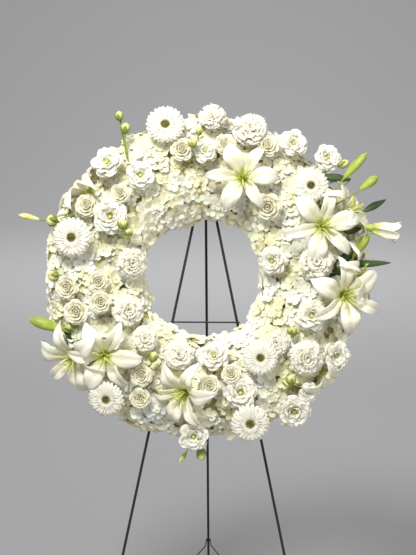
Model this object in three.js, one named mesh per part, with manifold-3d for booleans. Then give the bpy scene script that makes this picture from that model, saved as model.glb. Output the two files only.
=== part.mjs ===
// A funeral wreath of white flowers that hangs on a folding wire easel.
// Millimetres, +Z up, and the front faces -Y. The origin is on the floor, under the middle of the object.
import * as THREE from "three";
import { mergeVertices } from "three/addons/utils/BufferGeometryUtils.js";
import Module from "manifold-3d";

const wasm = await Module();
wasm.setup();

// Easel. The two front legs and the wreath share one plane, which leans back.
const LEAN = THREE.MathUtils.degToRad(12);
const APEX = 1404; // along the leaning plane, from the floor to where the lines of the front legs meet
const FOOT_HALF = 292; // from the middle to each front foot
const LEG_RADIUS = 3.2;
const LEG_TOP = 1382; // where the front legs end, under the head
const REAR_FOOT = 720; // the rear foot, behind the line of the front feet
const WIRE_RADIUS = 1.5; // crossbar and brace
const HEAD = { half: 15, front: 3.1, back: 4, low: 1382.4, high: 1414 };
const HINGE = { along: 1396, behind: 11, pin: 2, bore: 2.05, run: 2.12, eye: 5, half: 5.4, sides: 10 };
const EAR = { inner: 6, outer: 8.5, reach: 16, low: 1390, high: 1402 };
const CROSSBAR = { along: 1030, past: 3 };
const BRACE = { along: 214, behind: 6.9, rear: 280, bore: 1.9, eye: 4.3, half: 2.5, hook: 5.4, step: 3.6 };
const TOUCH = 0.3; // the gap that pieces which touch keep between them

// Wreath base: a foam ring in a plastic tray, on the front legs.
const RING_ALONG = 1136; // the ring's centre, along the leaning plane
const RING_RADIUS = 267; // to the middle of the foam
const RING_SIDES = 16;
const TRAY = { inner: 226, outer: 310, back: 3.5, rim: 20, wall: 2 };
const FOAM = { inner: 228.4, outer: 307.6, back: 6, shoulder: 44, top: 60, chamfer: 16 };
const STEM_END = 30; // how far in front of the legs a stem's foot lies, in the foam
const JOINT_OUT = 88; // where the branches of a stem meet, just over the foam

// Flower mass: heads of florets bed the blooms, over the foam. Their section is half an ellipse.
const BED = { outer: 106, inner: 120, height: 59, out: 25, heads: 10, columns: 5, rows: 7 };
const BESIDE = 12; // how far from a stem the florets give way
const SLACK = 0.6; // between the florets and the foam
const FLORET = { dip: -3, gap: -13, step: 3, least: -19 }; // its middle, the gaps, and under a bloom
const FACE = { half: 175, height: 88, out: 25 };
const STEM_RADIUS = 1.8;
const SHADOW = 34; // a bloom keeps this much room free in front of it
const CLEAR = 0.9; // a bloom keeps this much room free round it
const SLIVER = 0.8; // detail smaller than this is left out of the flowers

const MATERIALS = {
  steel: new THREE.MeshStandardMaterial({ color: 0x141615, roughness: 0.45, metalness: 0.3 }),
  tray: new THREE.MeshStandardMaterial({ color: 0x2c4a2e, roughness: 0.6 }),
  foam: new THREE.MeshStandardMaterial({ color: 0x3f6b3a, roughness: 0.95 }),
  hydrangea: new THREE.MeshStandardMaterial({ color: 0xf1f2e6, roughness: 0.8 }),
  lily: new THREE.MeshStandardMaterial({ color: 0xf6f5ea, roughness: 0.55 }),
  gerbera: new THREE.MeshStandardMaterial({ color: 0xf7f5ea, roughness: 0.7 }),
  rose: new THREE.MeshStandardMaterial({ color: 0xf3eed2, roughness: 0.7 }),
  carnation: new THREE.MeshStandardMaterial({ color: 0xf5f3e6, roughness: 0.8 }),
  lisianthus: new THREE.MeshStandardMaterial({ color: 0xf8f8f3, roughness: 0.7 }),
  leaf: new THREE.MeshStandardMaterial({ color: 0x3d5a22, roughness: 0.5 }),
};

// Solids

// A closed three.js geometry as a solid.
function solid(geometry) {
  const bare = geometry.clone();
  bare.deleteAttribute("normal");
  bare.deleteAttribute("uv");
  const merged = mergeVertices(bare, 1e-4);
  return new wasm.Manifold(
    new wasm.Mesh({
      numProp: 3,
      vertProperties: new Float32Array(merged.attributes.position.array),
      triVerts: new Uint32Array(merged.index.array),
    }),
  );
}

function joined(solids) {
  return solids.reduce((sum, next) => sum.add(next));
}

// The largest of a solid's separate bodies, with the slivers that cuts leave taken out.
// A scrap that a cut leaves loose is dropped.
function largest(made) {
  const bodies = made.simplify(SLIVER).decompose();
  return bodies.reduce((best, next) => (next.volume() > best.volume() ? next : best));
}

function meshOf(name, made, material) {
  const { vertProperties, triVerts } = made.getMesh();
  const geometry = new THREE.BufferGeometry();
  geometry.setAttribute("position", new THREE.BufferAttribute(new Float32Array(vertProperties), 3));
  geometry.setIndex(new THREE.BufferAttribute(new Uint32Array(triVerts), 1));
  const mesh = new THREE.Mesh(geometry, MATERIALS[material]);
  mesh.name = name;
  return mesh;
}

// A round rod from one point to another.
function rod(from, to, radius, sides = 8) {
  const along = to.clone().sub(from);
  const shape = new THREE.CylinderGeometry(radius, radius, along.length(), sides);
  shape.applyQuaternion(
    new THREE.Quaternion().setFromUnitVectors(new THREE.Vector3(0, 1, 0), along.clone().normalize()),
  );
  shape.translate(...from.clone().add(to).multiplyScalar(0.5).toArray());
  return solid(shape);
}

function box(low, high) {
  const size = high.clone().sub(low);
  const shape = new THREE.BoxGeometry(size.x, size.y, size.z);
  shape.translate(...low.clone().add(high).multiplyScalar(0.5).toArray());
  return solid(shape);
}

// A closed surface through rings of points that run the same way round, from a point ahead of the
// first ring to a point behind the last one. A ring may have a fraction of the points of the one before.
function layered(first, rings, last) {
  const corners = [...first, ...rings.flat(2), ...last];
  const faces = [];
  let low = 1;
  rings[0].forEach((_, i) => faces.push(0, low + i, low + ((i + 1) % rings[0].length)));
  rings.slice(1).forEach((ring, step) => {
    const count = rings[step].length;
    const share = count / ring.length;
    const next = low + count;
    for (let i = 0; i < count; i += 1) {
      const here = next + Math.floor(i / share);
      const after = next + (Math.floor((i + 1) / share) % ring.length);
      faces.push(low + i, here, low + ((i + 1) % count));
      if (after !== here) faces.push(here, after, low + ((i + 1) % count));
    }
    low = next;
  });
  const count = rings[rings.length - 1].length;
  for (let i = 0; i < count; i += 1) faces.push(low + count, low + ((i + 1) % count), low + i);
  const closed = new THREE.BufferGeometry();
  closed.setAttribute("position", new THREE.Float32BufferAttribute(corners, 3));
  closed.setIndex(faces);
  return solid(closed);
}

// A ring of points about +Z from [turn in degrees, radius, height] stops.
function ringFrom(stops) {
  return stops.map(([degrees, radius, height]) => {
    const angle = THREE.MathUtils.degToRad(degrees);
    return [radius * Math.cos(angle), radius * Math.sin(angle), height];
  });
}

// A round ring.
function hoop(sides, radius, height) {
  return ringFrom(Array.from({ length: sides }, (_, i) => [(i * 360) / sides, radius, height]));
}

// A ring that goes out and in by turns, like the edge of a ruffled petal.
function ruffle(sides, outer, inner, height, wave) {
  return ringFrom(
    Array.from({ length: sides }, (_, i) => [
      (i * 360) / sides,
      i % 2 ? inner : outer,
      height + (i % 2 ? wave : -wave),
    ]),
  );
}

// A wire bent through points.
function bentWire(points, radius, sides = 6) {
  const rings = points.map((point, i) => {
    const before = points[Math.max(i - 1, 0)];
    const after = points[Math.min(i + 1, points.length - 1)];
    const ahead = after.clone().sub(before).normalize();
    const turn = new THREE.Quaternion().setFromUnitVectors(new THREE.Vector3(0, 0, -1), ahead);
    return hoop(sides, radius, 0).map((corner) =>
      new THREE.Vector3(...corner).applyQuaternion(turn).add(point).toArray(),
    );
  });
  return layered(points[0].toArray(), rings, points[points.length - 1].toArray());
}

// A thin closed blade: a plane whose inner vertices are pushed apart, so that its edge stays sharp.
// shape(across, along) places a point, with across from -1 to 1 and along from 0 to 1.
function blade(columns, rows, thickness, shape) {
  const front = new THREE.PlaneGeometry(2, 1, columns, rows);
  const place = front.attributes.position;
  for (let i = 0; i < place.count; i += 1) {
    place.setXYZ(i, ...shape(place.getX(i), 0.5 - place.getY(i)).toArray());
  }
  front.computeVertexNormals();
  const normal = front.attributes.normal;
  const corners = [];
  for (const side of [1, -1]) {
    for (let i = 0; i < place.count; i += 1) {
      const column = i % (columns + 1);
      const row = Math.floor(i / (columns + 1));
      const inside = column > 0 && column < columns && row > 0 && row < rows;
      const push = inside ? (side * thickness) / 2 : 0;
      corners.push(
        place.getX(i) + push * normal.getX(i),
        place.getY(i) + push * normal.getY(i),
        place.getZ(i) + push * normal.getZ(i),
      );
    }
  }
  const faces = [];
  const index = front.index.array;
  for (let i = 0; i < index.length; i += 3) {
    faces.push(index[i], index[i + 1], index[i + 2]);
    faces.push(index[i] + place.count, index[i + 2] + place.count, index[i + 1] + place.count);
  }
  const closed = new THREE.BufferGeometry();
  closed.setAttribute("position", new THREE.Float32BufferAttribute(corners, 3));
  closed.setIndex(faces);
  return solid(closed);
}

// Blooms. Each is made facing +Z with its face at the origin: a point in front, the rings behind it,
// of which the last one is where its stem starts, and the room that it keeps free.

// A lily: six tepals that part above a funnel, the three inner ones wider. Each tepal has a shoulder at
// both of its edges and a tip between them, and there is a notch between two tepals.
function lily(radius) {
  const stops = (shoulder, tip, notch, spread) => {
    const ring = [];
    for (let i = 0; i < 6; i += 1) {
      const half = spread * (i % 2 ? 0.78 : 1);
      const lift = i % 2 ? -2.4 : 0;
      ring.push(
        [i * 60 - half, shoulder[0] * radius, lift + shoulder[1] * radius],
        [i * 60, tip[0] * radius, lift + tip[1] * radius],
        [i * 60 + half, shoulder[0] * radius, lift + shoulder[1] * radius],
        [i * 60 + 30, notch[0] * radius, notch[1] * radius],
      );
    }
    return ringFrom(ring);
  };
  const edge = radius * 1.02 + CLEAR;
  const hull = (height) => ruffle(12, edge * 1.13, edge * 0.68, height, 0);
  const depth = -0.72 * radius;
  return {
    front: [0, 0, -0.02 * radius],
    rings: [
      stops([0.11, -0.4], [0.11, -0.4], [0.1, -0.42], 15),
      stops([0.4, -0.08], [0.45, -0.13], [0.19, -0.3], 22),
      stops([0.66, 0], [1, -0.13], [0.22, -0.28], 21),
      hoop(6, 0.19 * radius, -0.5 * radius),
      hoop(3, STEM_RADIUS, depth),
    ],
    cover: layered([0, 0, SHADOW], [hull(SHADOW), hull(-0.13 * radius - 5)], [0, 0, depth - 3]),
    depth,
  };
}

// The room round a bloom shaped like a cup, and in front of it.
function cupCover(radius, front, back, root, sides = 8) {
  const edge = (radius + CLEAR) / Math.cos(Math.PI / sides);
  const high = front + SHADOW;
  return layered([0, 0, high], [hoop(sides, edge, high), hoop(sides, edge, back)], [0, 0, root]);
}

function gerbera(radius) {
  return {
    front: [0, 0, 4],
    rings: [
      hoop(18, radius * 0.2, 5),
      hoop(18, radius * 0.26, 1.5),
      ruffle(18, radius, radius * 0.76, -1, 0.6),
      hoop(4, 9, -6),
      hoop(4, STEM_RADIUS, -14),
    ],
    cover: cupCover(radius, 0, -3.4, -18),
    depth: -14,
  };
}

// A cup of ruffled petals round a raised heart.
function ruffledCup(radius, { sides, heart, inner, valley, outer, height, root }) {
  return {
    front: [0, 0, heart * radius],
    rings: [
      ruffle(sides, inner * radius, inner * 0.8 * radius, height * radius, radius * 0.04),
      ruffle(sides, (inner + 0.1) * radius, (inner + 0.02) * radius, valley * radius, 0),
      ruffle(sides, radius, outer * radius, -0.08 * radius, radius * 0.06),
      hoop(4, 0.34 * radius, root * 0.8 * radius),
      hoop(4, STEM_RADIUS, root * radius),
    ],
    cover: cupCover(radius, 0.1 * radius, -0.15 * radius - 4, root * radius * 1.12),
    depth: root * radius,
  };
}

function rose(radius) {
  return ruffledCup(radius, {
    sides: 8,
    heart: 0.06,
    inner: 0.38,
    valley: -0.16,
    outer: 0.9,
    height: 0.2,
    root: -0.85,
  });
}

function lisianthus(radius) {
  return ruffledCup(radius, {
    sides: 12,
    heart: -0.34,
    inner: 0.54,
    valley: -0.22,
    outer: 0.86,
    height: 0.1,
    root: -0.85,
  });
}

function carnation(radius) {
  return ruffledCup(radius, {
    sides: 12,
    heart: 0.26,
    inner: 0.6,
    valley: -0.12,
    outer: 0.84,
    height: 0.14,
    root: -0.85,
  });
}

const BLOOMS = { lily, gerbera, rose, lisianthus, carnation };

// Places on the wreath. u is to the right and v is up, both from the ring's centre, and out is towards
// the viewer, from the plane of the front legs.

function at(u, v, out) {
  return new THREE.Vector3(u, -out, v);
}

// How far out the faces of the blooms lie, and which way they look there.
function faceAt(u, v) {
  const aside = Math.hypot(u, v) - RING_RADIUS;
  const share = THREE.MathUtils.clamp(aside / FACE.half, -0.95, 0.95);
  const rise = Math.sqrt(1 - share * share);
  const angle = Math.atan2(v, u);
  const tilt = 0.75 * share;
  return {
    out: FACE.out + FACE.height * rise,
    facing: [Math.cos(angle) * tilt, Math.sin(angle) * tilt, 1],
  };
}

// The turn that carries +Z onto a facing, with +X kept as near to the right as it can be.
function basisFor(facing, roll) {
  const ahead = at(...facing).normalize();
  const right = new THREE.Vector3(1, 0, 0).addScaledVector(ahead, -ahead.x).normalize();
  const up = ahead.clone().cross(right);
  const turn = new THREE.Matrix4().makeBasis(right, up, ahead);
  return turn.multiply(new THREE.Matrix4().makeRotationZ(THREE.MathUtils.degToRad(roll)));
}

function bloomAt(kind, u, v, radius, { face, out = 0, roll = 0 } = {}) {
  const spot = faceAt(u, v);
  const matrix = basisFor(face ?? spot.facing, roll).setPosition(at(u, v, spot.out + out));
  return { ...BLOOMS[kind](radius), matrix };
}

// A closed bud from its base to its tip.
function budBetween(from, to, radius) {
  const long = from.distanceTo(to);
  const turn = new THREE.Quaternion().setFromUnitVectors(
    new THREE.Vector3(0, 0, 1),
    to.clone().sub(from).normalize(),
  );
  const spare = (grow, height) => hoop(4, radius * 1.1 + grow * Math.SQRT2, height);
  return {
    front: [0, 0, 0],
    rings: [
      hoop(4, radius * 0.95, -long * 0.3),
      hoop(4, radius * 1.05, -long * 0.75),
      hoop(4, STEM_RADIUS, -long),
    ],
    cover: layered([0, 0, 4], [spare(CLEAR, -long * 0.25), spare(CLEAR, -long * 0.8)], [0, 0, -long - 4]),
    depth: -long,
    matrix: new THREE.Matrix4().compose(to, turn, new THREE.Vector3(1, 1, 1)),
  };
}

// A bloom or bud with its stem, which runs on through the given points.
function stemmed({ front, rings, depth, matrix }, path) {
  const move = (corner) => new THREE.Vector3(...corner).applyMatrix4(matrix);
  const start = move([0, 0, depth]);
  const back = new THREE.Vector3(0, 0, -1).transformDirection(matrix);
  const last = rings[rings.length - 1];
  const stem = path.map((point, i) => {
    const ahead = (path[i + 1] ?? point).clone().sub(path[i - 1] ?? start).normalize();
    const turn = new THREE.Quaternion().setFromUnitVectors(back, ahead);
    return last.map((corner) => move(corner).sub(start).applyQuaternion(turn).add(point).toArray());
  });
  const placed = rings.map((ring) => ring.map((corner) => move(corner).toArray()));
  return layered(move(front).toArray(), [...placed, ...stem], path[path.length - 1].toArray());
}

// A leaf from its base to its tip, with its face turned to the viewer and its tip drooping back.
function leafBetween(from, to, halfWidth, droop) {
  const along = to.clone().sub(from);
  const front = new THREE.Vector3(0, -1, 0);
  const across = along.clone().cross(front).normalize();
  const widths = [0.3, 1, 0.8, 0.08];
  const shapeWith = (extra) => (side, share) => {
    const stop = share * (widths.length - 1);
    const low = Math.min(Math.floor(stop), widths.length - 2);
    const half = halfWidth * THREE.MathUtils.lerp(widths[low], widths[low + 1], stop - low) + extra;
    const back = droop * share * share - Math.abs(side) * half * 0.3;
    return from
      .clone()
      .addScaledVector(along, share * (1 + extra / along.length()))
      .addScaledVector(across, side * half)
      .addScaledVector(front, -back);
  };
  const thick = blade(2, widths.length - 1, 1.8, shapeWith(0));
  const room = new THREE.BoxGeometry(2, 1, 1, 2, widths.length - 1, 1);
  const place = room.attributes.position;
  const spare = shapeWith(CLEAR);
  for (let i = 0; i < place.count; i += 1) {
    const point = spare(place.getX(i), 0.5 - place.getY(i));
    point.addScaledVector(front, place.getZ(i) > 0 ? 4 * CLEAR : -4 * CLEAR);
    place.setXYZ(i, point.x, point.y, point.z);
  }
  return { solid: thick, cover: solid(room), start: from.clone().lerp(to, 0.06) };
}

// One spray: every bloom, bud and leaf on it, the branch to each, and the stem that goes into the foam.
function spray({ root, parts }) {
  const made = parts.map(([kind, ...rest]) => {
    if (kind === "leaf") return leafOn(...rest);
    const one = kind === "bud" ? budOn(...rest) : bloomAt(kind, ...rest);
    return { ...one, start: new THREE.Vector3(0, 0, one.depth).applyMatrix4(one.matrix) };
  });
  const foot = at(root[0], root[1], STEM_END);
  const joint = at(root[0], root[1], JOINT_OUT);
  const room = (from, to, spare = CLEAR) => {
    const past = to.clone().sub(from).setLength(STEM_RADIUS + spare);
    return rod(from.clone().sub(past), to.clone().add(past), STEM_RADIUS * Math.SQRT2 + spare, 4);
  };
  const solids = [];
  const covers = [room(foot, joint, TOUCH)];
  const blooms = [];
  made.forEach((one, i) => {
    const [kind, , , radius] = parts[i];
    covers.push(room(joint, one.start));
    if (kind === "leaf") {
      solids.push(one.solid, rod(joint, one.start, STEM_RADIUS * 0.8, 3));
      covers.push(one.cover);
      return;
    }
    solids.push(stemmed(one, i === 0 ? [joint, foot] : [joint]));
    covers.push(one.cover.transform(one.matrix.elements));
    blooms.push(placeOf(one, { lily: 0.8 * radius, bud: 0 }[kind] ?? radius, joint));
  });
  return { solid: joined(solids), cover: joined(covers), blooms };
}

function leafOn(u0, v0, u1, v1, out, halfWidth, droop = 12) {
  return leafBetween(at(u0, v0, out), at(u1, v1, out), halfWidth, droop);
}

function budOn(u0, v0, u1, v1, out, radius) {
  return budBetween(at(u0, v0, out), at(u1, v1, out + 4), radius);
}

// Where a bloom stands, for the florets under it.
function placeOf({ matrix, depth, start }, radius, joint) {
  return {
    branch: new THREE.Line3(start, joint),
    face: new THREE.Vector3().setFromMatrixPosition(matrix),
    ahead: new THREE.Vector3(0, 0, 1).transformDirection(matrix),
    radius: radius + BESIDE / 2,
    back: -0.15 * radius - 5,
    depth: depth * 1.1 - 4,
  };
}

// What stands on the ring, the foremost first: each piece keeps its room free of those after it.
// Each bloom is [kind, u, v, radius, how it is turned]; each bud and leaf runs from u, v to u, v.
const SPRAYS = [
  { name: "lily_top", material: "lily", root: [84, 248], parts: [
    ["lily", 88, 237, 84, { face: [0, 0.1, 1], out: 22, roll: 0 }],
  ] },
  { name: "lily_upper_right", material: "lily", root: [248, 98], parts: [
    ["lily", 276, 122, 88, { face: [0.12, 0, 1], out: 26, roll: 15 }],
  ] },
  { name: "lily_lower_right", material: "lily", root: [268, -52], parts: [
    ["lily", 335, -43, 90, { face: [0.3, -0.12, 1], out: 24, roll: 35 }],
  ] },
  { name: "lily_lower_left", material: "lily", root: [-212, -160], parts: [
    ["lily", -231, -187, 86, { face: [-0.05, -0.2, 1], out: 26, roll: 0 }],
  ] },
  { name: "lily_bottom", material: "lily", root: [-58, -262], parts: [
    ["lily", -56, -275, 82, { face: [-0.5, -0.3, 0.8], out: 24, roll: 10 }],
  ] },
  { name: "gerbera_top", material: "gerbera", root: [-86, 262], parts: [
    ["gerbera", -92, 358, 46, { face: [0, 0.25, 1], out: 10 }],
  ] },
  { name: "gerbera_left", material: "gerbera", root: [-264, 70], parts: [
    ["gerbera", -308, 93, 47, { face: [-0.15, 0, 1], out: 12 }],
  ] },
  { name: "gerbera_upper_right", material: "gerbera", root: [210, 190], parts: [
    ["gerbera", 247, 216, 42, { face: [0, 0.1, 1], out: 8 }],
  ] },
  { name: "gerbera_lower_left", material: "gerbera", root: [-190, -210], parts: [
    ["gerbera", -226, -283, 43, { face: [-0.15, -0.2, 1], out: 18 }],
  ] },
  { name: "gerbera_lower_right", material: "gerbera", root: [155, -214], parts: [
    ["gerbera", 132, -184, 42, { face: [0, 0.05, 1], out: 10 }],
  ] },
  { name: "gerbera_bottom", material: "gerbera", root: [84, -270], parts: [
    ["gerbera", 109, -337, 46, { face: [0, -0.15, 1], out: 16 }],
  ] },
  { name: "lily_stem_upper_right", material: "leaf", root: [254, 142], parts: [
    ["lily", 351, 165, 82, { face: [0.8, 0.5, 0.3], out: 0, roll: 20 }],
    ["bud", 321, 229, 379, 294, 96, 11],
    ["bud", 360, 205, 404, 238, 104, 11],
    ["bud", 364, 122, 456, 108, 96, 13],
    ["leaf", 340, 232, 262, 242, 84, 9, 4],
    ["leaf", 372, 158, 428, 188, 60, 8],
    ["leaf", 322, 114, 372, 122, 84, 12],
  ] },
  { name: "lily_stem_right", material: "leaf", root: [286, 6], parts: [
    ["lily", 374, 14, 80, { face: [0.85, 0.15, 0.3], out: -6, roll: 10 }],
    ["bud", 348, 50, 384, 106, 96, 12],
    ["leaf", 330, 34, 436, 38, 90, 8, 8],
    ["leaf", 292, -6, 352, 76, 84, 14, 2],
  ] },
  { name: "lily_stem_left", material: "leaf", root: [-252, -120], parts: [
    ["lily", -314, -197, 88, { face: [-0.45, -0.45, 0.8], out: 16, roll: 50 }],
    ["bud", -322, -126, -412, -98, 90, 14],
    ["leaf", -330, -120, -266, -176, 84, 13, 4],
  ] },
  { name: "lily_side_upper_left", material: "lily", root: [-236, 152], parts: [
    ["lily", -300, 222, 80, { face: [-0.65, 0.6, 0.15], out: -26, roll: 0 }],
  ] },
  { name: "lily_side_lower_right", material: "lily", root: [216, -192], parts: [
    ["lily", 296, -238, 74, { face: [0.66, -0.7, 0.2], out: -22, roll: 25 }],
  ] },
  { name: "carnation_top", material: "carnation", root: [52, 276], parts: [
    ["carnation", 17, 377, 33, { face: [0, 0.6, 1] }],
    ["carnation", 106, 348, 42, { face: [0.1, 0.45, 1] }],
  ] },
  { name: "carnation_right", material: "carnation", root: [266, 44], parts: [
    ["carnation", 261, 38, 40, { out: 8 }],
  ] },
  { name: "carnation_left", material: "carnation", root: [-258, -88], parts: [
    ["carnation", -177, -76, 38],
    ["carnation", -137, -142, 31],
  ] },
  { name: "carnation_lower_right", material: "carnation", root: [236, -140], parts: [
    ["carnation", 240, -184, 41, { out: 6 }],
    ["carnation", 170, -150, 30, { out: -6 }],
  ] },
  { name: "carnation_inner_left", material: "carnation", root: [-244, 30], parts: [
    ["carnation", -169, 33, 37],
  ] },
  { name: "carnation_inner_bottom", material: "carnation", root: [-74, -232], parts: [
    ["carnation", -58, -179, 36],
  ] },
  { name: "lisianthus_upper_left", material: "lisianthus", root: [-170, 206], parts: [
    ["lisianthus", -228, 270, 39, { face: [-0.3, 0.3, 1], out: 6 }],
    ["lisianthus", -149, 238, 35, { out: 6 }],
    ["bud", -198, 366, -202, 390, 92, 9],
    ["bud", -187, 336, -184, 362, 98, 11],
  ] },
  { name: "lisianthus_left", material: "lisianthus", root: [-240, 112], parts: [
    ["lisianthus", -219, 142, 43, { out: 8 }],
    ["bud", -188, 112, -187, 136, 132, 11],
    ["bud", -176, 96, -172, 114, 128, 9],
  ] },
  { name: "lisianthus_upper_right", material: "lisianthus", root: [196, 214], parts: [
    ["lisianthus", 208, 316, 35, { face: [0.2, 0.25, 1], out: 6 }],
    ["lisianthus", 288, 284, 34, { face: [0.35, 0.3, 1], out: 8 }],
    ["bud", 312, 262, 338, 274, 84, 9],
  ] },
  { name: "lisianthus_top", material: "lisianthus", root: [-10, 262], parts: [
    ["lisianthus", 1, 297, 32],
    ["bud", -28, 300, -26, 322, 132, 10],
    ["bud", -14, 330, -10, 350, 118, 7],
  ] },
  { name: "lisianthus_bottom", material: "lisianthus", root: [-18, -276], parts: [
    ["lisianthus", -23, -370, 37, { face: [0, -0.2, 1], out: 10 }],
    ["bud", -6, -398, -4, -430, 74, 11],
    ["bud", -42, -412, -56, -436, 66, 5],
  ] },
  { name: "lisianthus_inner_bottom", material: "lisianthus", root: [44, -258], parts: [
    ["lisianthus", 24, -180, 37, { out: 4 }],
    ["lisianthus", 86, -266, 42, { out: -2 }],
  ] },
  { name: "lisianthus_lower_right", material: "lisianthus", root: [176, -238], parts: [
    ["lisianthus", 211, -311, 43, { out: 4 }],
    ["lisianthus", 246, -266, 26, { out: 2 }],
    ["bud", 200, -246, 204, -222, 124, 11],
  ] },
  { name: "lisianthus_right", material: "lisianthus", root: [250, -104], parts: [
    ["lisianthus", 250, -86, 40, { out: 4 }],
    ["lisianthus", 309, -180, 37, { face: [0.4, -0.2, 1] }],
    ["bud", 204, -132, 206, -110, 120, 10],
  ] },
  { name: "lisianthus_inner_right", material: "lisianthus", root: [240, 66], parts: [
    ["lisianthus", 158, 40, 36],
  ] },
  { name: "rose_upper_left", material: "rose", root: [-224, 178], parts: [
    ["rose", -275, 168, 29],
    ["rose", -196, 196, 25],
    ["bud", -344, 132, -372, 134, 82, 13],
    ["bud", -386, 135, -438, 147, 78, 7],
  ] },
  { name: "rose_top", material: "rose", root: [0, 240], parts: [
    ["rose", -52, 300, 29],
    ["rose", 48, 312, 26],
  ] },
  { name: "rose_upper_right", material: "rose", root: [142, 232], parts: [
    ["rose", 147, 310, 28],
    ["rose", 147, 165, 34, { out: 6 }],
  ] },
  { name: "rose_left", material: "rose", root: [-266, -28], parts: [
    ["rose", -321, -23, 30],
    ["rose", -299, -81, 31, { out: 4 }],
    ["bud", -340, 4, -366, 2, 92, 12],
    ["bud", -304, -116, -322, -110, 92, 11],
  ] },
  { name: "rose_inner_left", material: "rose", root: [-244, -54], parts: [
    ["rose", -246, -10, 27],
    ["rose", -240, -58, 27, { out: 4 }],
  ] },
  { name: "rose_lower_left", material: "rose", root: [-150, -220], parts: [
    ["rose", -176, -170, 23],
    ["rose", -145, -228, 27],
    ["rose", -148, -282, 26],
    ["bud", -120, -196, -112, -170, 124, 9],
  ] },
  { name: "rose_bottom", material: "rose", root: [26, -250], parts: [
    ["rose", 64, -222, 24, { out: 4 }],
    ["rose", 14, -250, 27, { out: 4 }],
  ] },
];

// The heads of florets

// A place on the bed: at an angle round the ring, at an angle over the bed's back, and above its surface.
function bedAt(round, over, lift) {
  const half = Math.cos(over) > 0 ? BED.outer : BED.inner;
  const radius = RING_RADIUS + (half + lift) * Math.cos(over);
  const out = BED.out + (BED.height + lift) * Math.sin(over);
  return at(radius * Math.cos(round), radius * Math.sin(round), Math.max(out, TRAY.back + 1.5));
}

// Whether a point is in the cone behind a bloom or in the room in front of it, or beside its stem.
function isUnder(point, { face, ahead, radius, back, depth, branch }) {
  const near = branch.closestPointToPoint(point, true, new THREE.Vector3());
  if (near.distanceTo(point) < BESIDE) return true;
  const offset = point.clone().sub(face);
  const height = offset.dot(ahead);
  const aside = offset.addScaledVector(ahead, -height).length();
  if (height > SHADOW || height < depth) return false;
  return aside < (height > back ? radius : (radius * (height - depth)) / (back - depth));
}

// One head: a closed relief of florets. Each floret has its middle, four petals that it shares with
// its neighbours, and a gap at each corner, and it sinks where a bloom stands on it.
function hydrangea(index, blooms) {
  const sweep = (2 * Math.PI) / BED.heads;
  const margin = SLACK / RING_RADIUS;
  const columns = 2 * BED.columns;
  const rows = 2 * BED.rows;
  const corners = [];
  for (let i = 0; i <= columns; i += 1) {
    const round = index * sweep + margin + ((sweep - 2 * margin) * i) / columns;
    for (let j = 0; j <= rows; j += 1) {
      const over = THREE.MathUtils.lerp(-0.22, Math.PI + 0.22, j / rows);
      let lift = [FLORET.gap, 0, FLORET.dip][(i % 2) + (j % 2)];
      while (lift > FLORET.least && blooms.some((bloom) => isUnder(bedAt(round, over, lift), bloom))) {
        lift -= FLORET.step;
      }
      corners.push(...bedAt(round, over, lift).toArray());
    }
  }
  const count = rows + 1;
  const faces = [];
  for (let i = 0; i < columns; i += 1) {
    for (let j = 0; j < count; j += 1) {
      const next = (j + 1) % count;
      const [a, b, c, d] = [i * count + j, i * count + next, (i + 1) * count + next, (i + 1) * count + j];
      if ((i + j) % 2) faces.push(a, d, b, b, d, c);
      else faces.push(a, c, b, a, d, c);
    }
  }
  for (const [column, flip] of [[0, false], [columns, true]]) {
    const middle = corners.length / 3;
    const round = index * sweep + margin + ((sweep - 2 * margin) * column) / columns;
    corners.push(...at(RING_RADIUS * Math.cos(round), RING_RADIUS * Math.sin(round), BED.out).toArray());
    for (let j = 0; j < count; j += 1) {
      const here = column * count + j;
      const next = column * count + ((j + 1) % count);
      faces.push(middle, flip ? next : here, flip ? here : next);
    }
  }
  const closed = new THREE.BufferGeometry();
  closed.setAttribute("position", new THREE.Float32BufferAttribute(corners, 3));
  closed.setIndex(faces);
  return solid(closed);
}

// Whether the boxes of two solids meet, which is quicker to tell than whether they do.
function overlaps(one, other) {
  const a = one.boundingBox();
  const b = other.boundingBox();
  return [0, 1, 2].every((i) => a.min[i] <= b.max[i] && b.min[i] <= a.max[i]);
}

// What is left of a solid beside the rooms that others keep free.
function clearOf(made, rooms) {
  const near = rooms.filter((room) => overlaps(room, made));
  return near.length ? made.subtract(joined(near)) : made;
}

function makeWreath() {
  const group = new THREE.Group();
  const rooms = [];
  const blooms = [];
  for (const each of SPRAYS) {
    const made = spray(each);
    blooms.push(...made.blooms);
    group.add(meshOf(each.name, largest(clearOf(made.solid, rooms)), each.material));
    rooms.push(made.cover);
  }
  const foamRoom = ringOf([
    [TRAY.inner - SLACK, 0],
    [TRAY.outer + SLACK, 0],
    [TRAY.outer + SLACK, FOAM.top + SLACK],
    [TRAY.inner - SLACK, FOAM.top + SLACK],
  ]);
  for (let i = 0; i < BED.heads; i += 1) {
    const made = clearOf(hydrangea(i, blooms).subtract(foamRoom), rooms);
    const name = `hydrangea_${String(i + 1).padStart(2, "0")}`;
    group.add(meshOf(name, largest(made), "hydrangea"));
  }
  group.add(meshOf("tray", makeTray(), "tray"));
  group.add(meshOf("foam_ring", largest(clearOf(makeFoam(), rooms)), "foam"));
  group.position.copy(lean(0, 0, RING_ALONG));
  group.rotation.x = -LEAN;
  return group;
}

// A ring in the wreath's plane, from a closed profile of [radius, out].
function ringOf(profile) {
  const points = profile.map(([radius, out]) => new THREE.Vector2(radius, out));
  points.push(points[0].clone());
  return solid(new THREE.LatheGeometry(points, RING_SIDES).rotateX(Math.PI));
}

function makeTray() {
  const { inner, outer, back, rim, wall } = TRAY;
  return ringOf([
    [inner, back],
    [outer, back],
    [outer, rim],
    [outer - wall, rim],
    [outer - wall, back + wall],
    [inner + wall, back + wall],
    [inner + wall, rim],
    [inner, rim],
  ]);
}

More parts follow.
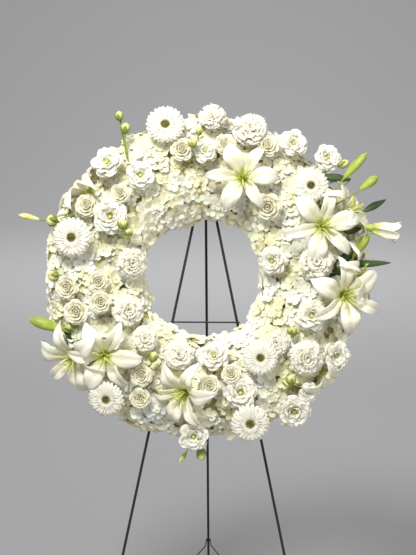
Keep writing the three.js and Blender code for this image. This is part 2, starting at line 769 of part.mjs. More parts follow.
function makeFoam() {
  const { inner, outer, back, shoulder, top, chamfer } = FOAM;
  return ringOf([
    [inner, back],
    [outer, back],
    [outer, shoulder],
    [outer - chamfer, top],
    [inner + chamfer, top],
    [inner, shoulder],
  ]);
}

// Easel

// A point of the leaning plane: x to the right, out to the front, along it from the floor.
function lean(x, out, along) {
  return new THREE.Vector3(
    x,
    along * Math.sin(LEAN) - out * Math.cos(LEAN),
    along * Math.cos(LEAN) + out * Math.sin(LEAN),
  );
}

// How far a front leg's middle line is from the middle at a place along it.
function legAside(along) {
  return FOOT_HALF * (1 - along / APEX);
}

const FLOOR = box(new THREE.Vector3(-900, -900, -60), new THREE.Vector3(900, 1200, 0));

// A box in the leaning plane, given by its corners there.
function leaningBox(x0, x1, out0, out1, along0, along1) {
  const made = box(new THREE.Vector3(x0, -out1, along0), new THREE.Vector3(x1, -out0, along1));
  return made.transform(new THREE.Matrix4().makeRotationX(-LEAN).elements);
}

function makeFrontLeg(side) {
  const [low, high] = [-12, LEG_TOP + 12].map((along) => lean(side * legAside(along), 0, along));
  const leg = rod(low, high, LEG_RADIUS, 10);
  const ends = leaningBox(-60, 60, -30, 30, LEG_TOP, LEG_TOP + 60);
  const aside = side * legAside(BRACE.along);
  const eyeFrom = lean(aside - BRACE.half, -BRACE.behind, BRACE.along);
  const eyeTo = lean(aside + BRACE.half, -BRACE.behind, BRACE.along);
  const reach = new THREE.Vector3(20, 0, 0);
  const bore = rod(eyeFrom.clone().sub(reach), eyeTo.clone().add(reach), BRACE.bore, 8);
  return leg
    .add(rod(eyeFrom, eyeTo, BRACE.eye, 8))
    .subtract(bore)
    .subtract(FLOOR)
    .subtract(ends);
}

function makeHead() {
  const block = leaningBox(-HEAD.half, HEAD.half, -HEAD.back, HEAD.front, HEAD.low, HEAD.high);
  const ears = [-1, 1].map((side) => {
    const [near, far] = [side * EAR.inner, side * EAR.outer].sort((a, b) => a - b);
    return leaningBox(near, far, -EAR.reach, -HEAD.back + 1, EAR.low, EAR.high);
  });
  const bore = rod(hingePoint(-30), hingePoint(30), HINGE.bore, HINGE.sides);
  return joined([block, ...ears]).subtract(bore);
}

function hingePoint(x) {
  return lean(x, -HINGE.behind, HINGE.along);
}

function makePin() {
  const end = EAR.outer + TOUCH;
  const cap = 1.6;
  return joined([
    rod(hingePoint(-end - cap), hingePoint(end + cap), HINGE.pin, HINGE.sides),
    rod(hingePoint(-end - cap), hingePoint(-end), HINGE.pin + 1.6, 8),
    rod(hingePoint(end), hingePoint(end + cap), HINGE.pin + 1.6, 8),
  ]);
}

const REAR_END = new THREE.Vector3(0, REAR_FOOT, 0);

function makeRearLeg() {
  const top = hingePoint(0);
  const down = REAR_END.clone().sub(top).normalize();
  const past = REAR_END.clone().addScaledVector(down, 12);
  const leg = rod(top.clone().addScaledVector(down, 3.4), past, LEG_RADIUS, 10);
  const eye = rod(hingePoint(-HINGE.half), hingePoint(HINGE.half), HINGE.eye, HINGE.sides);
  const bore = rod(hingePoint(-20), hingePoint(20), HINGE.run, HINGE.sides);
  return leg.add(eye).subtract(bore).subtract(FLOOR);
}

function makeCrossbar() {
  const out = LEG_RADIUS + TOUCH + WIRE_RADIUS;
  const half = legAside(CROSSBAR.along) + LEG_RADIUS + CROSSBAR.past;
  return rod(lean(-half, out, CROSSBAR.along), lean(half, out, CROSSBAR.along), WIRE_RADIUS, 8);
}

// Where the brace holds the rear leg.
function braceEnd() {
  const top = hingePoint(0);
  return top.clone().lerp(REAR_END, (top.z - BRACE.rear) / top.z);
}

// One side of the brace: a pin in the front leg's eye, an arm, and a hook behind the rear leg.
function makeBraceArm(side) {
  const aside = legAside(BRACE.along);
  const pivot = lean(0, -BRACE.behind, BRACE.along);
  const end = braceEnd();
  const along = end.clone().sub(pivot).normalize();
  const lateral = new THREE.Vector3(side, 0, 0);
  const rise = new THREE.Vector3(1, 0, 0).cross(along);
  const height = (side * BRACE.step) / 2;
  const place = (x, forward, up) =>
    end.clone().addScaledVector(lateral, x).addScaledVector(along, -forward).addScaledVector(rise, up);
  const outer = lean(side * (aside + BRACE.half + 5), -BRACE.behind, BRACE.along);
  const bend = lean(side * (aside - BRACE.half - 4), -BRACE.behind, BRACE.along);
  const hookStart = place(BRACE.hook, 6, height);
  const hook = [];
  for (let i = 0; i <= 5; i += 1) {
    const angle = (i / 5) * Math.PI;
    hook.push(place(BRACE.hook * Math.cos(angle), -BRACE.hook * Math.sin(angle), height));
  }
  hook.push(place(-BRACE.hook, 3, height));
  return bentWire([outer, bend, hookStart, ...hook], WIRE_RADIUS);
}

// The wire loop on the tray's back that lies on the ears of the head.
function makeHanger() {
  const radius = 1.3;
  const along = EAR.high + TOUCH + radius;
  const front = TRAY.back - TOUCH;
  const half = 21;
  const behind = -HEAD.back - TOUCH - radius - 0.4;
  const points = [
    lean(-half, front, along + 6),
    lean(-half, behind, along),
    lean(half, behind, along),
    lean(half, front, along + 6),
  ];
  const cut = leaningBox(-60, 60, front, front + 20, along - 40, along + 60);
  return bentWire(points, radius).subtract(cut);
}

const object = new THREE.Group();
object.add(
  makeWreath(),
  meshOf("front_leg_left", makeFrontLeg(-1), "steel"),
  meshOf("front_leg_right", makeFrontLeg(1), "steel"),
  meshOf("easel_head", makeHead(), "steel"),
  meshOf("hinge_pin", makePin(), "steel"),
  meshOf("rear_leg", makeRearLeg(), "steel"),
  meshOf("crossbar", makeCrossbar(), "steel"),
  meshOf("brace_left", makeBraceArm(-1), "steel"),
  meshOf("brace_right", makeBraceArm(1), "steel"),
  meshOf("hanger", makeHanger(), "steel"),
);

// The origin goes under the middle of the whole object.
object.updateMatrixWorld(true);
const bounds = new THREE.Box3().setFromObject(object, true);
object.position.set(-(bounds.min.x + bounds.max.x) / 2, -(bounds.min.y + bounds.max.y) / 2, 0);

export default object;
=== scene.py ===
"""A funeral wreath of white flowers on its folding wire easel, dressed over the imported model."""

import math
import random

import bmesh
import bpy
from bpy.props import FloatProperty, FloatVectorProperty, IntProperty, PointerProperty
from mathutils import Matrix, Vector, noise


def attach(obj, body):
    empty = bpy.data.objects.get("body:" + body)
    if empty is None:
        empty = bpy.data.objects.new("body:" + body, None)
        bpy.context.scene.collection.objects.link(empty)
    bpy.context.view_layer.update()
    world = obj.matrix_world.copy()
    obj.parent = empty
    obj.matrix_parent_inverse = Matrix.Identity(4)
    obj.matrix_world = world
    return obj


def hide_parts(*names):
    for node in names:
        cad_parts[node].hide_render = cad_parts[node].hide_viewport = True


bl_info = {
    "name": "White Flower Wreath on an Easel",
    "version": (1, 0, 0),
    "blender": (4, 5, 0),
    "location": "View3D > Sidebar > Wreath",
    "description": "Dresses a wreath of white flowers and the folding easel that it hangs on",
    "category": "Object",
}

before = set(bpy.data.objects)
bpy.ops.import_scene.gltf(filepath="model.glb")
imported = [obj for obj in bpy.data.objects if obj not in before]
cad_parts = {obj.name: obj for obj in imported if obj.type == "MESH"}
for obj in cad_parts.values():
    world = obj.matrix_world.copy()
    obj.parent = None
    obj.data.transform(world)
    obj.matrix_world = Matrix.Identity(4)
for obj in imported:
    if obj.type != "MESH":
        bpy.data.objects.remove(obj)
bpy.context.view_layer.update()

MM = 0.001

# Sizes in millimetres, as the solids have them. "Along" runs up the front legs, "out" to the viewer.
LEAN = math.radians(12)
SHIFT = Vector((-0.009, -0.360061, 0.0))  # from the source's own origin to the frame's
RING_ALONG = 1136
RING_RADIUS = 267
BED_OUTER, BED_INNER, BED_HEIGHT, BED_OUT = 106, 120, 59, 25
FACE_HALF, FACE_HEIGHT, FACE_OUT = 175, 88, 25
STEM_END, JOINT_OUT = 30, 88
STEM_RADIUS = 1.8
APEX, FOOT_HALF, LEG_TOP = 1404, 292, 1382
LEG_RADIUS, WIRE_RADIUS = 3.2, 1.5
HINGE_ALONG, HINGE_BEHIND = 1396, 11
BRACE_ALONG, BRACE_BEHIND, BRACE_REAR, BRACE_HOOK = 214, 6.9, 280, 5.4
REAR_FOOT = 720
PIN_HALF, PIN_RADIUS, PIN_HEAD_FROM, PIN_HEAD_TO, PIN_HEAD_RADIUS = 10.4, 2, 8.8, 10.6, 3.4
CROSSBAR_ALONG, CROSSBAR_EXTRA = 1030, 0.4

# What stands on the ring. Each bloom is kind, u, v, radius and how it is turned. Each bud and leaf
# runs from one u, v to another, so far out, and has its half width last.
SPRAYS = [
    ("lily_top", "lily", (84, 248), [
        ("lily", 88, 237, 84, {"face": (0, 0.1, 1), "out": 22, "roll": 0}),
    ]),
    ("lily_upper_right", "lily", (248, 98), [
        ("lily", 276, 122, 88, {"face": (0.12, 0, 1), "out": 26, "roll": 15}),
    ]),
    ("lily_lower_right", "lily", (268, -52), [
        ("lily", 335, -43, 90, {"face": (0.3, -0.12, 1), "out": 24, "roll": 35}),
    ]),
    ("lily_lower_left", "lily", (-212, -160), [
        ("lily", -231, -187, 86, {"face": (-0.05, -0.2, 1), "out": 26, "roll": 0}),
    ]),
    ("lily_bottom", "lily", (-58, -262), [
        ("lily", -56, -275, 82, {"face": (-0.5, -0.3, 0.8), "out": 24, "roll": 10}),
    ]),
    ("gerbera_top", "gerbera", (-86, 262), [
        ("gerbera", -92, 358, 46, {"face": (0, 0.25, 1), "out": 10}),
    ]),
    ("gerbera_left", "gerbera", (-264, 70), [
        ("gerbera", -308, 93, 47, {"face": (-0.15, 0, 1), "out": 12}),
    ]),
    ("gerbera_upper_right", "gerbera", (210, 190), [
        ("gerbera", 247, 216, 42, {"face": (0, 0.1, 1), "out": 8}),
    ]),
    ("gerbera_lower_left", "gerbera", (-190, -210), [
        ("gerbera", -226, -283, 43, {"face": (-0.15, -0.2, 1), "out": 18}),
    ]),
    ("gerbera_lower_right", "gerbera", (155, -214), [
        ("gerbera", 132, -184, 42, {"face": (0, 0.05, 1), "out": 10}),
    ]),
    ("gerbera_bottom", "gerbera", (84, -270), [
        ("gerbera", 109, -337, 46, {"face": (0, -0.15, 1), "out": 16}),
    ]),
    ("lily_stem_upper_right", "leaf", (254, 142), [
        ("lily", 351, 165, 82, {"face": (0.8, 0.5, 0.3), "out": 0, "roll": 20}),
        ("bud", 321, 229, 379, 294, 96, 11),
        ("bud", 360, 205, 404, 238, 104, 11),
        ("half_open", 364, 122, 456, 108, 96, 13),
        ("leaf", 340, 232, 262, 242, 84, 9, 4),
        ("leaf", 372, 158, 428, 188, 60, 8),
        ("leaf", 322, 114, 372, 122, 84, 12),
    ]),
    ("lily_stem_right", "leaf", (286, 6), [
        ("lily", 374, 14, 80, {"face": (0.85, 0.15, 0.3), "out": -6, "roll": 10}),
        ("bud", 348, 50, 384, 106, 96, 12),
        ("leaf", 330, 34, 436, 38, 90, 8, 8),
        ("leaf", 292, -6, 352, 76, 84, 14, 2),
    ]),
    ("lily_stem_left", "leaf", (-252, -120), [
        ("lily", -314, -197, 88, {"face": (-0.45, -0.45, 0.8), "out": 16, "roll": 50}),
        ("bud", -322, -126, -412, -98, 90, 14),
        ("leaf", -330, -120, -266, -176, 84, 13, 4),
    ]),
    ("lily_side_upper_left", "lily", (-236, 152), [
        ("lily", -300, 222, 80, {"face": (-0.65, 0.6, 0.15), "out": -26, "roll": 0}),
    ]),
    ("lily_side_lower_right", "lily", (216, -192), [
        ("lily", 296, -238, 74, {"face": (0.66, -0.7, 0.2), "out": -22, "roll": 25}),
    ]),
    ("carnation_top", "carnation", (52, 276), [
        ("carnation", 17, 377, 33, {"face": (0, 0.6, 1)}),
        ("carnation", 106, 348, 42, {"face": (0.1, 0.45, 1)}),
    ]),
    ("carnation_right", "carnation", (266, 44), [
        ("carnation", 261, 38, 40, {"out": 8}),
    ]),
    ("carnation_left", "carnation", (-258, -88), [
        ("carnation", -177, -76, 38),
        ("carnation", -137, -142, 31),
    ]),
    ("carnation_lower_right", "carnation", (236, -140), [
        ("carnation", 240, -184, 41, {"out": 6}),
        ("carnation", 170, -150, 30, {"out": -6}),
    ]),
    ("carnation_inner_left", "carnation", (-244, 30), [
        ("carnation", -169, 33, 37),
    ]),
    ("carnation_inner_bottom", "carnation", (-74, -232), [
        ("carnation", -58, -179, 36),
    ]),
    ("lisianthus_upper_left", "lisianthus", (-170, 206), [
        ("lisianthus", -228, 270, 39, {"face": (-0.3, 0.3, 1), "out": 6}),
        ("lisianthus", -149, 238, 35, {"out": 6}),
        ("bud", -198, 366, -202, 390, 92, 9),
        ("bud", -187, 336, -184, 362, 98, 11),
    ]),
    ("lisianthus_left", "lisianthus", (-240, 112), [
        ("lisianthus", -219, 142, 43, {"out": 8}),
        ("bud", -188, 112, -187, 136, 132, 11),
        ("bud", -176, 96, -172, 114, 128, 9),
    ]),
    ("lisianthus_upper_right", "lisianthus", (196, 214), [
        ("lisianthus", 208, 316, 35, {"face": (0.2, 0.25, 1), "out": 6}),
        ("lisianthus", 288, 284, 34, {"face": (0.35, 0.3, 1), "out": 8}),
        ("bud", 312, 262, 338, 274, 84, 9),
    ]),
    ("lisianthus_top", "lisianthus", (-10, 262), [
        ("lisianthus", 1, 297, 32),
        ("bud", -28, 300, -26, 322, 132, 10),
        ("bud", -14, 330, -10, 350, 118, 7),
    ]),
    ("lisianthus_bottom", "lisianthus", (-18, -276), [
        ("lisianthus", -23, -370, 37, {"face": (0, -0.2, 1), "out": 10}),
        ("bud", -6, -398, -4, -430, 74, 11),
        ("bud", -42, -412, -56, -436, 66, 5),
    ]),
    ("lisianthus_inner_bottom", "lisianthus", (44, -258), [
        ("lisianthus", 24, -180, 37, {"out": 4}),
        ("lisianthus", 86, -266, 42, {"out": -2}),
    ]),
    ("lisianthus_lower_right", "lisianthus", (176, -238), [
        ("lisianthus", 211, -311, 43, {"out": 4}),
        ("lisianthus", 246, -266, 26, {"out": 2}),
        ("bud", 200, -246, 204, -222, 124, 11),
    ]),
    ("lisianthus_right", "lisianthus", (250, -104), [
        ("lisianthus", 250, -86, 40, {"out": 4}),
        ("lisianthus", 309, -180, 37, {"face": (0.4, -0.2, 1)}),
        ("bud", 204, -132, 206, -110, 120, 10),
    ]),
    ("lisianthus_inner_right", "lisianthus", (240, 66), [
        ("lisianthus", 158, 40, 36),
    ]),
    ("rose_upper_left", "rose", (-224, 178), [
        ("rose", -275, 168, 29),
        ("rose", -196, 196, 25),
        ("bud", -344, 132, -372, 134, 82, 13),
        ("bud", -386, 135, -438, 147, 78, 7),
    ]),
    ("rose_top", "rose", (0, 240), [
        ("rose", -52, 300, 29),
        ("rose", 48, 312, 26),
    ]),
    ("rose_upper_right", "rose", (142, 232), [
        ("rose", 147, 310, 28),
        ("rose", 147, 165, 34, {"out": 6}),
    ]),
    ("rose_left", "rose", (-266, -28), [
        ("rose", -321, -23, 30),
        ("rose", -299, -81, 31, {"out": 4}),
        ("bud", -340, 4, -366, 2, 92, 12),
        ("bud", -304, -116, -322, -110, 92, 11),
    ]),
    ("rose_inner_left", "rose", (-244, -54), [
        ("rose", -246, -10, 27),
        ("rose", -240, -58, 27, {"out": 4}),
    ]),
    ("rose_lower_left", "rose", (-150, -220), [
        ("rose", -176, -170, 23),
        ("rose", -145, -228, 27),
        ("rose", -148, -282, 26),
        ("bud", -120, -196, -112, -170, 124, 9),
    ]),
    ("rose_bottom", "rose", (26, -250), [
        ("rose", 64, -222, 24, {"out": 4}),
        ("rose", 14, -250, 27, {"out": 4}),
    ]),
]


# Places


def at(u, v, out):
    """u to the right and v up from the ring's centre, out towards the viewer, in millimetres."""
    return Vector((u, -out, v)) * MM


def lean(x, out, along):
    """A point of the leaning plane of the front legs, in the frame."""
    point = (
        x,
        along * math.sin(LEAN) - out * math.cos(LEAN),
        along * math.cos(LEAN) + out * math.sin(LEAN),
    )
    return Vector(point) * MM + SHIFT


WREATH = Matrix.Translation(lean(0, 0, RING_ALONG)) @ Matrix.Rotation(-LEAN, 4, "X")


def between(stops, share):
    """A smooth curve through evenly spaced stops, at a share of its length."""
    last = len(stops) - 1
    place = min(max(share, 0.0), 1.0) * last
    low = min(int(place), last - 1)
    t = place - low
    a, b, c, d = (stops[min(max(low + step, 0), last)] for step in (-1, 0, 1, 2))
    bend = (2 * a - 5 * b + 4 * c - d) * t * t
    swing = (3 * b - a - 3 * c + d) * t**3
    return 0.5 * (2 * b + (c - a) * t + bend + swing)


def between_points(points, share):
    return Vector([between([point[axis] for point in points], share) for axis in range(len(points[0]))])


def face_at(u, v):
    aside = math.hypot(u, v) - RING_RADIUS
    share = min(max(aside / FACE_HALF, -0.95), 0.95)
    angle = math.atan2(v, u)
    tilt = 0.75 * share
    facing = (math.cos(angle) * tilt, math.sin(angle) * tilt, 1)
    return FACE_OUT + FACE_HEIGHT * math.sqrt(1 - share * share), facing


def basis_for(facing, roll):
    ahead = Vector((facing[0], -facing[2], facing[1])).normalized()
    right = (Vector((1, 0, 0)) - ahead * ahead.x).normalized()
    turn = Matrix((right, ahead.cross(right), ahead)).transposed().to_4x4()
    return turn @ Matrix.Rotation(math.radians(roll), 4, "Z")


def place_of(u, v, turned):
    out, facing = face_at(u, v)
    turn = basis_for(turned.get("face", facing), turned.get("roll", 0))
    return Matrix.Translation(at(u, v, out + turned.get("out", 0))) @ turn


# Shapes


def new_bmesh():
    bm = bmesh.new()
    bm.loops.layers.uv.new("UVMap")
    return bm


def petal(
    bm,
    place,
    line,
    widths,
    grid=(6, 8),
    cup=0.0,
    wave=0.0,
    waves=3,
    teeth=0.0,
    blunt=0.0,
    groove=0.0,
    phase=0.0,
):
    """One petal along +X and up +Z of its place, from its base to its tip. Its faces are returned.

    line is its middle as radius and height, and widths are half widths along it. cup lifts its edges,
    wave and waves ruffle them, teeth cut its tip, blunt rounds its corners and groove sinks its middle.
    """
    end = (between_points(line, 1) - between_points(line, 0.9)) * 10
    made = bmesh.ops.create_grid(bm, x_segments=grid[0], y_segments=grid[1], size=1.0, calc_uvs=True)
    for number, vert in enumerate(made["verts"]):
        across, along = vert.co.x, (vert.co.y + 1) / 2
        share = along * (1 - blunt * across * across)
        if along > 0.99 and teeth:
            share += teeth * (1 if number % 2 else -1)
        here = between_points(line, min(share, 1.0)) + end * max(share - 1, 0)
        ahead = (between_points(line, share + 0.05) - between_points(line, share - 0.05)).normalized()
        half = between(widths, along)
        ruffle = abs(across) ** 1.5 * math.sin(phase + along * waves * math.pi + across * 2)
        lift = cup * half * across * across + wave * ruffle
        lift -= groove * max(1 - abs(across) * 3, 0) * math.sin(min(along * 1.15, 1) * math.pi)
        lift += wave * 0.8 * max(along - 0.55, 0) * math.sin(phase * 3 + across * waves * 2.4)
        vert.co = place @ Vector((here[0] - ahead[1] * lift, across * half, here[1] + ahead[0] * lift))
    return list(faces_of(made["verts"]))


def faces_of(verts):
    return {face for vert in verts for face in vert.link_faces}


def paint(faces, material):
    for face in faces:
        face.material_index = material
        face.smooth = True


def thicken(bm, faces, thickness):
    """Gives open petals a wall, with their faces outward."""
    made = bmesh.ops.solidify(bm, geom=faces, thickness=thickness)
    inside = {item for item in made["geom"] if isinstance(item, bmesh.types.BMFace)}
    shell = {face for face in faces if face.is_valid} | inside
    rim = {f for face in shell for edge in face.edges for f in edge.link_faces}
    bmesh.ops.recalc_face_normals(bm, faces=list(rim))
    for face in rim:
        face.smooth = True


def extruded(bm, edges):
    """Draws a row of edges on. The new verts and edges are still where the old ones are."""
    made = bmesh.ops.extrude_edge_only(bm, edges=edges)["geom"]
    verts = [item for item in made if isinstance(item, bmesh.types.BMVert)]
    edges = [item for item in made if isinstance(item, bmesh.types.BMEdge)]
    return verts, [edge for edge in edges if edge.verts[0] in verts and edge.verts[1] in verts]


def capped(bm, first, last):
    """Closes both ends of what was extruded from first to last. The two end faces are returned."""
    caps = bmesh.ops.contextual_create(bm, geom=first)["faces"]
    return caps + bmesh.ops.contextual_create(bm, geom=last)["faces"]


def tube(bm, points, radii, sides=8, material=0):
    """A closed tube through points, with a radius at each."""
    points = [Vector(point) for point in points]
    turns = []
    for i, point in enumerate(points):
        ahead = points[min(i + 1, len(points) - 1)] - points[max(i - 1, 0)]
        if turns:
            swing = turns[-1].col[2].to_3d().rotation_difference(ahead).to_matrix().to_4x4()
            turns.append(swing @ turns[-1])
        else:
            turns.append(ahead.to_track_quat("Z", "X").to_matrix().to_4x4())
    places = []
    for point, turn, radius in zip(points, turns, radii):
        places.append(Matrix.Translation(point) @ turn @ Matrix.Diagonal((radius, radius, radius, 1)))
    ring = bmesh.ops.create_circle(bm, segments=sides, radius=1.0, matrix=places[0])["verts"]
    first = list({edge for vert in ring for edge in vert.link_edges})
    edges = first
    for before, here in zip(places, places[1:]):
        verts, edges = extruded(bm, edges)
        bmesh.ops.transform(bm, matrix=here @ before.inverted(), verts=verts)
        ring = ring + verts
    caps = capped(bm, first, edges)
    faces = list(faces_of(ring))
    bmesh.ops.recalc_face_normals(bm, faces=faces)
    paint(faces, material)
    for cap in caps:
        cap.smooth = False
    return faces


def part_tube(bm, place, size, points, radii, sides, material):
    """A tube in a bloom's own place, with radii as shares of the bloom's size."""
    radii = [size * radius for radius in radii]
    return tube(bm, [place @ Vector(point) for point in points], radii, sides, material)


def smooth_path(points, count):
    return [between_points(points, i / (count - 1)) for i in range(count)]


def ball(bm, place, across, high, material, segments=(10, 6)):
    """A closed ball, flattened or drawn out, whose poles are on the Z axis of its place."""
    shape = place @ Matrix.Diagonal((across, across, high, 1))
    around, along = segments
    made = bmesh.ops.create_uvsphere(bm, u_segments=around, v_segments=along, radius=1, matrix=shape)
    faces = list(faces_of(made["verts"]))
    paint(faces, material)
    return made["verts"]


def turned(place, angle, tilt=0.0, up=0.0):
    return (
        place
        @ Matrix.Rotation(angle, 4, "Z")
        @ Matrix.Translation((0, 0, up))
        @ Matrix.Rotation(tilt, 4, "Y")
    )


def whorl(bm, place, count, line, widths, pick, start=0.0, loose=0.0, **form):
    """Petals round a bloom, each a little off its place."""
    faces = []
    for i in range(count):
        angle = start + i * math.tau / count + pick.uniform(-loose, loose)
        tilt = pick.uniform(-loose, loose) * 0.7
        faces += petal(bm, turned(place, angle, tilt), line, widths, phase=pick.uniform(0, 6), **form)
    return faces


def layered(bm, place, layers, pick, **form):
    """Whorls one inside the other, outermost first or last, each a list of its own."""
    made = []
    for count, line, widths, *cup in layers:
        start = pick.uniform(0, 6)
        lift = cup[0] if cup else pick.uniform(-0.1, 0.3)
        made.append(whorl(bm, place, count, line, widths, pick, start, cup=lift, **form))
    return made


def calyx(bm, place, size, heights, radii, sides=12):
    """The green cup under a bloom."""
    part_tube(bm, place, size, [(0, 0, height) for height in heights], radii, sides, GREEN)


# Blooms. Each one faces +Z of its place, which also holds its size, and is 1 in radius.

PETAL, GREEN, STAMEN, DARK_CENTRE, TAN_CENTRE, OUTER_PETAL, BUD, LEAF = range(8)  # a stem's slots
THIN, THICK = 0.0006, 0.0009  # how thick petals are, in metres
GOLDEN_ANGLE = 2.39996
SHORT_BUD = 0.045  # a bud under this length has sepals


def lily(bm, place, size, pick, bare=False, anther=False):
    wide = [0.06, 0.12, 0.2, 0.255, 0.25, 0.185, 0.09, 0.004]
    narrow = [0.06, 0.09, 0.135, 0.17, 0.165, 0.12, 0.06, 0.004]
    faces = []
    for i in range(6):
        inner = i % 2 == 0
        curl = pick.uniform(-0.16, 0.0)
        low = 0.0 if inner else -0.03
        sway = pick.uniform(-0.05, 0.05)
        line = [
            (0.07, -0.44),
            (0.16, -0.27),
            (0.34, -0.1 + low),
            (0.58, 0.05 + low),
            (0.82, 0.02 + low + curl * 0.5),
            (0.98, -0.1 + low + curl),
            (1.02, -0.26 + low + curl * 1.4),
        ]
        faces += petal(
            bm,
            turned(place, math.radians(i * 60) + sway) @ Matrix.Rotation(sway * 3, 4, "X"),
            line,
            wide if inner else narrow,
            grid=(8, 14),
            cup=-0.2 if inner else 0.12,
            groove=0.055,
            wave=0.04 if inner else 0.02,
            waves=4,
            phase=pick.uniform(0, 6),
        )
    paint(faces, PETAL)
    thicken(bm, faces, THICK)
    calyx(bm, place, size, (-0.74, -0.66, -0.55, -0.44, -0.34), (0.035, 0.06, 0.09, 0.12, 0.13))
    if bare:
        return
    for i in range(6):
        angle = math.radians(30 + i * 60) + pick.uniform(-0.15, 0.15)
        reach = pick.uniform(0.26, 0.33)
        path = [(0.03, -0.38), (0.09, -0.14), (0.17, 0.05), (reach, 0.15)]
        path = [(r * math.cos(angle), r * math.sin(angle), h) for r, h in path]
        part_tube(bm, place, size, smooth_path(path, 7), (0.024,) * 6 + (0.012,), 6, STAMEN)
    pistil = [(0, 0, -0.38), (0.02, 0, -0.1), (0.05, 0.01, 0.1), (0.09, 0.02, 0.22)]
    part_tube(bm, place, size, smooth_path(pistil, 7), (0.03,) * 6 + (0.026,), 8, STAMEN)
    ball(bm, place @ Matrix.Translation((0.09, 0.02, 0.225)), 0.055, 0.035, STAMEN)
    if anther:
        path = [(-0.03, 0.02, -0.38), (-0.14, 0.08, 0.05), (-0.32, 0.18, 0.3), (-0.48, 0.28, 0.36)]
        part_tube(bm, place, size, smooth_path(path, 8), (0.016,) * 8, 6, STAMEN)
        ball(bm, turned(place @ Matrix.Translation((-0.5, 0.3, 0.37)), 2.2, 1.4), 0.05, 0.12, DARK_CENTRE)


def gerbera(bm, place, size, pick):
    rays = [
        (26, [(0.2, -0.03), (0.45, 0.01), (0.75, 0.0), (1.0, -0.05)], [0.06, 0.1, 0.13, 0.1], 0.0),
        (24, [(0.2, 0.0), (0.42, 0.05), (0.68, 0.06), (0.92, 0.01)], [0.05, 0.09, 0.115, 0.085], 0.12),
        (24, [(0.2, 0.03), (0.3, 0.08), (0.42, 0.1), (0.56, 0.09)], [0.03, 0.045, 0.05, 0.03], 0.05),
    ]
    faces = []
    for count, line, widths, start in rays:
        form = {"loose": 0.035, "grid": (4, 6), "cup": 0.12, "wave": 0.004, "blunt": 0.16}
        faces += whorl(bm, place, count, line, widths, pick, start, **form)
    paint(faces, PETAL)
    thicken(bm, faces, THIN)
    ball(bm, place, 0.235, 0.1, DARK_CENTRE, (16, 8))
    for i in range(150):
        radius = 0.23 * math.sqrt((i + 0.5) / 150)
        height = 0.1 * math.sqrt(max(1 - (radius / 0.25) ** 2, 0.05))
        spot = turned(place, i * GOLDEN_ANGLE) @ Matrix.Translation((radius, 0, height))
        spot = spot @ Matrix.Rotation(radius * 1.8, 4, "Y")
        outer = radius > 0.16
        long = 0.075 if outer else 0.045
        made = bmesh.ops.create_cone(
            bm,
            cap_ends=True,
            segments=5,
            radius1=0.014,
            radius2=0.008 if outer else 0.011,
            depth=long,
            matrix=spot @ Matrix.Translation((0, 0, long / 4)),
        )
        paint(faces_of(made["verts"]), TAN_CENTRE if outer else DARK_CENTRE)
    calyx(bm, place, size, (-0.32, -0.22, -0.1, -0.03), (0.06, 0.13, 0.26, 0.24), 14)


def carnation(bm, place, size, pick):
    layers = [
        (11, [(0.1, -0.3), (0.4, -0.1), (0.72, -0.04), (1.0, -0.1)], [0.05, 0.14, 0.27, 0.34]),
        (11, [(0.1, -0.3), (0.34, -0.06), (0.62, 0.06), (0.9, 0.06)], [0.05, 0.13, 0.25, 0.31]),
        (10, [(0.08, -0.3), (0.27, -0.04), (0.5, 0.12), (0.76, 0.17)], [0.05, 0.12, 0.23, 0.29]),
        (9, [(0.06, -0.3), (0.2, -0.02), (0.37, 0.16), (0.58, 0.26)], [0.05, 0.11, 0.21, 0.27]),
        (8, [(0.04, -0.3), (0.13, -0.02), (0.24, 0.18), (0.4, 0.31)], [0.04, 0.1, 0.18, 0.24]),
        (6, [(0.01, -0.3), (0.06, -0.02), (0.11, 0.18), (0.2, 0.33)], [0.03, 0.08, 0.15, 0.2]),
    ]
    form = {"loose": 0.3, "grid": (8, 5), "wave": 0.11, "waves": 3.4, "teeth": 0.05, "blunt": 0.1}
    faces = sum(layered(bm, place, layers, pick, **form), [])
    paint(faces, PETAL)
    thicken(bm, faces, THIN)
    calyx(bm, place, size, (-0.9, -0.72, -0.5, -0.26), (0.09, 0.2, 0.24, 0.22))


def lisianthus(bm, place, size, pick):
    layers = [
        (6, [(0.08, -0.4), (0.34, -0.2), (0.7, -0.06), (1.0, -0.08)], [0.08, 0.28, 0.46, 0.34], 0.05),
        (6, [(0.07, -0.4), (0.3, -0.14), (0.58, 0.04), (0.84, 0.06)], [0.08, 0.26, 0.42, 0.32], 0.2),
        (5, [(0.06, -0.4), (0.24, -0.12), (0.42, 0.08), (0.6, 0.16)], [0.07, 0.22, 0.36, 0.28], 0.35),
        (4, [(0.05, -0.4), (0.15, -0.14), (0.26, 0.04), (0.36, 0.14)], [0.06, 0.16, 0.26, 0.2], 0.5),
    ]
    form = {"loose": 0.2, "grid": (9, 8), "wave": 0.1, "waves": 2.6, "blunt": 0.2}
    faces = sum(layered(bm, place, layers, pick, **form), [])
    paint(faces, PETAL)
    thicken(bm, faces, THIN)
    calyx(bm, place, size, (-0.9, -0.7, -0.5, -0.33), (0.06, 0.1, 0.14, 0.16))
    part_tube(bm, place, size, [(0, 0, -0.4), (0, 0, -0.2), (0, 0, 0.04)], (0.08, 0.11, 0.09), 8, STAMEN)
    for i in range(5):
        angle = i * math.tau / 5 + pick.uniform(-0.2, 0.2)
        side = Vector((0.12 * math.cos(angle), 0.12 * math.sin(angle), 0.02))
        part_tube(bm, place, size, [(0, 0, -0.36), side], (0.012,) * 2, 5, STAMEN)
        ball(bm, place @ Matrix.Translation(side), 0.032, 0.04, TAN_CENTRE, (6, 4))


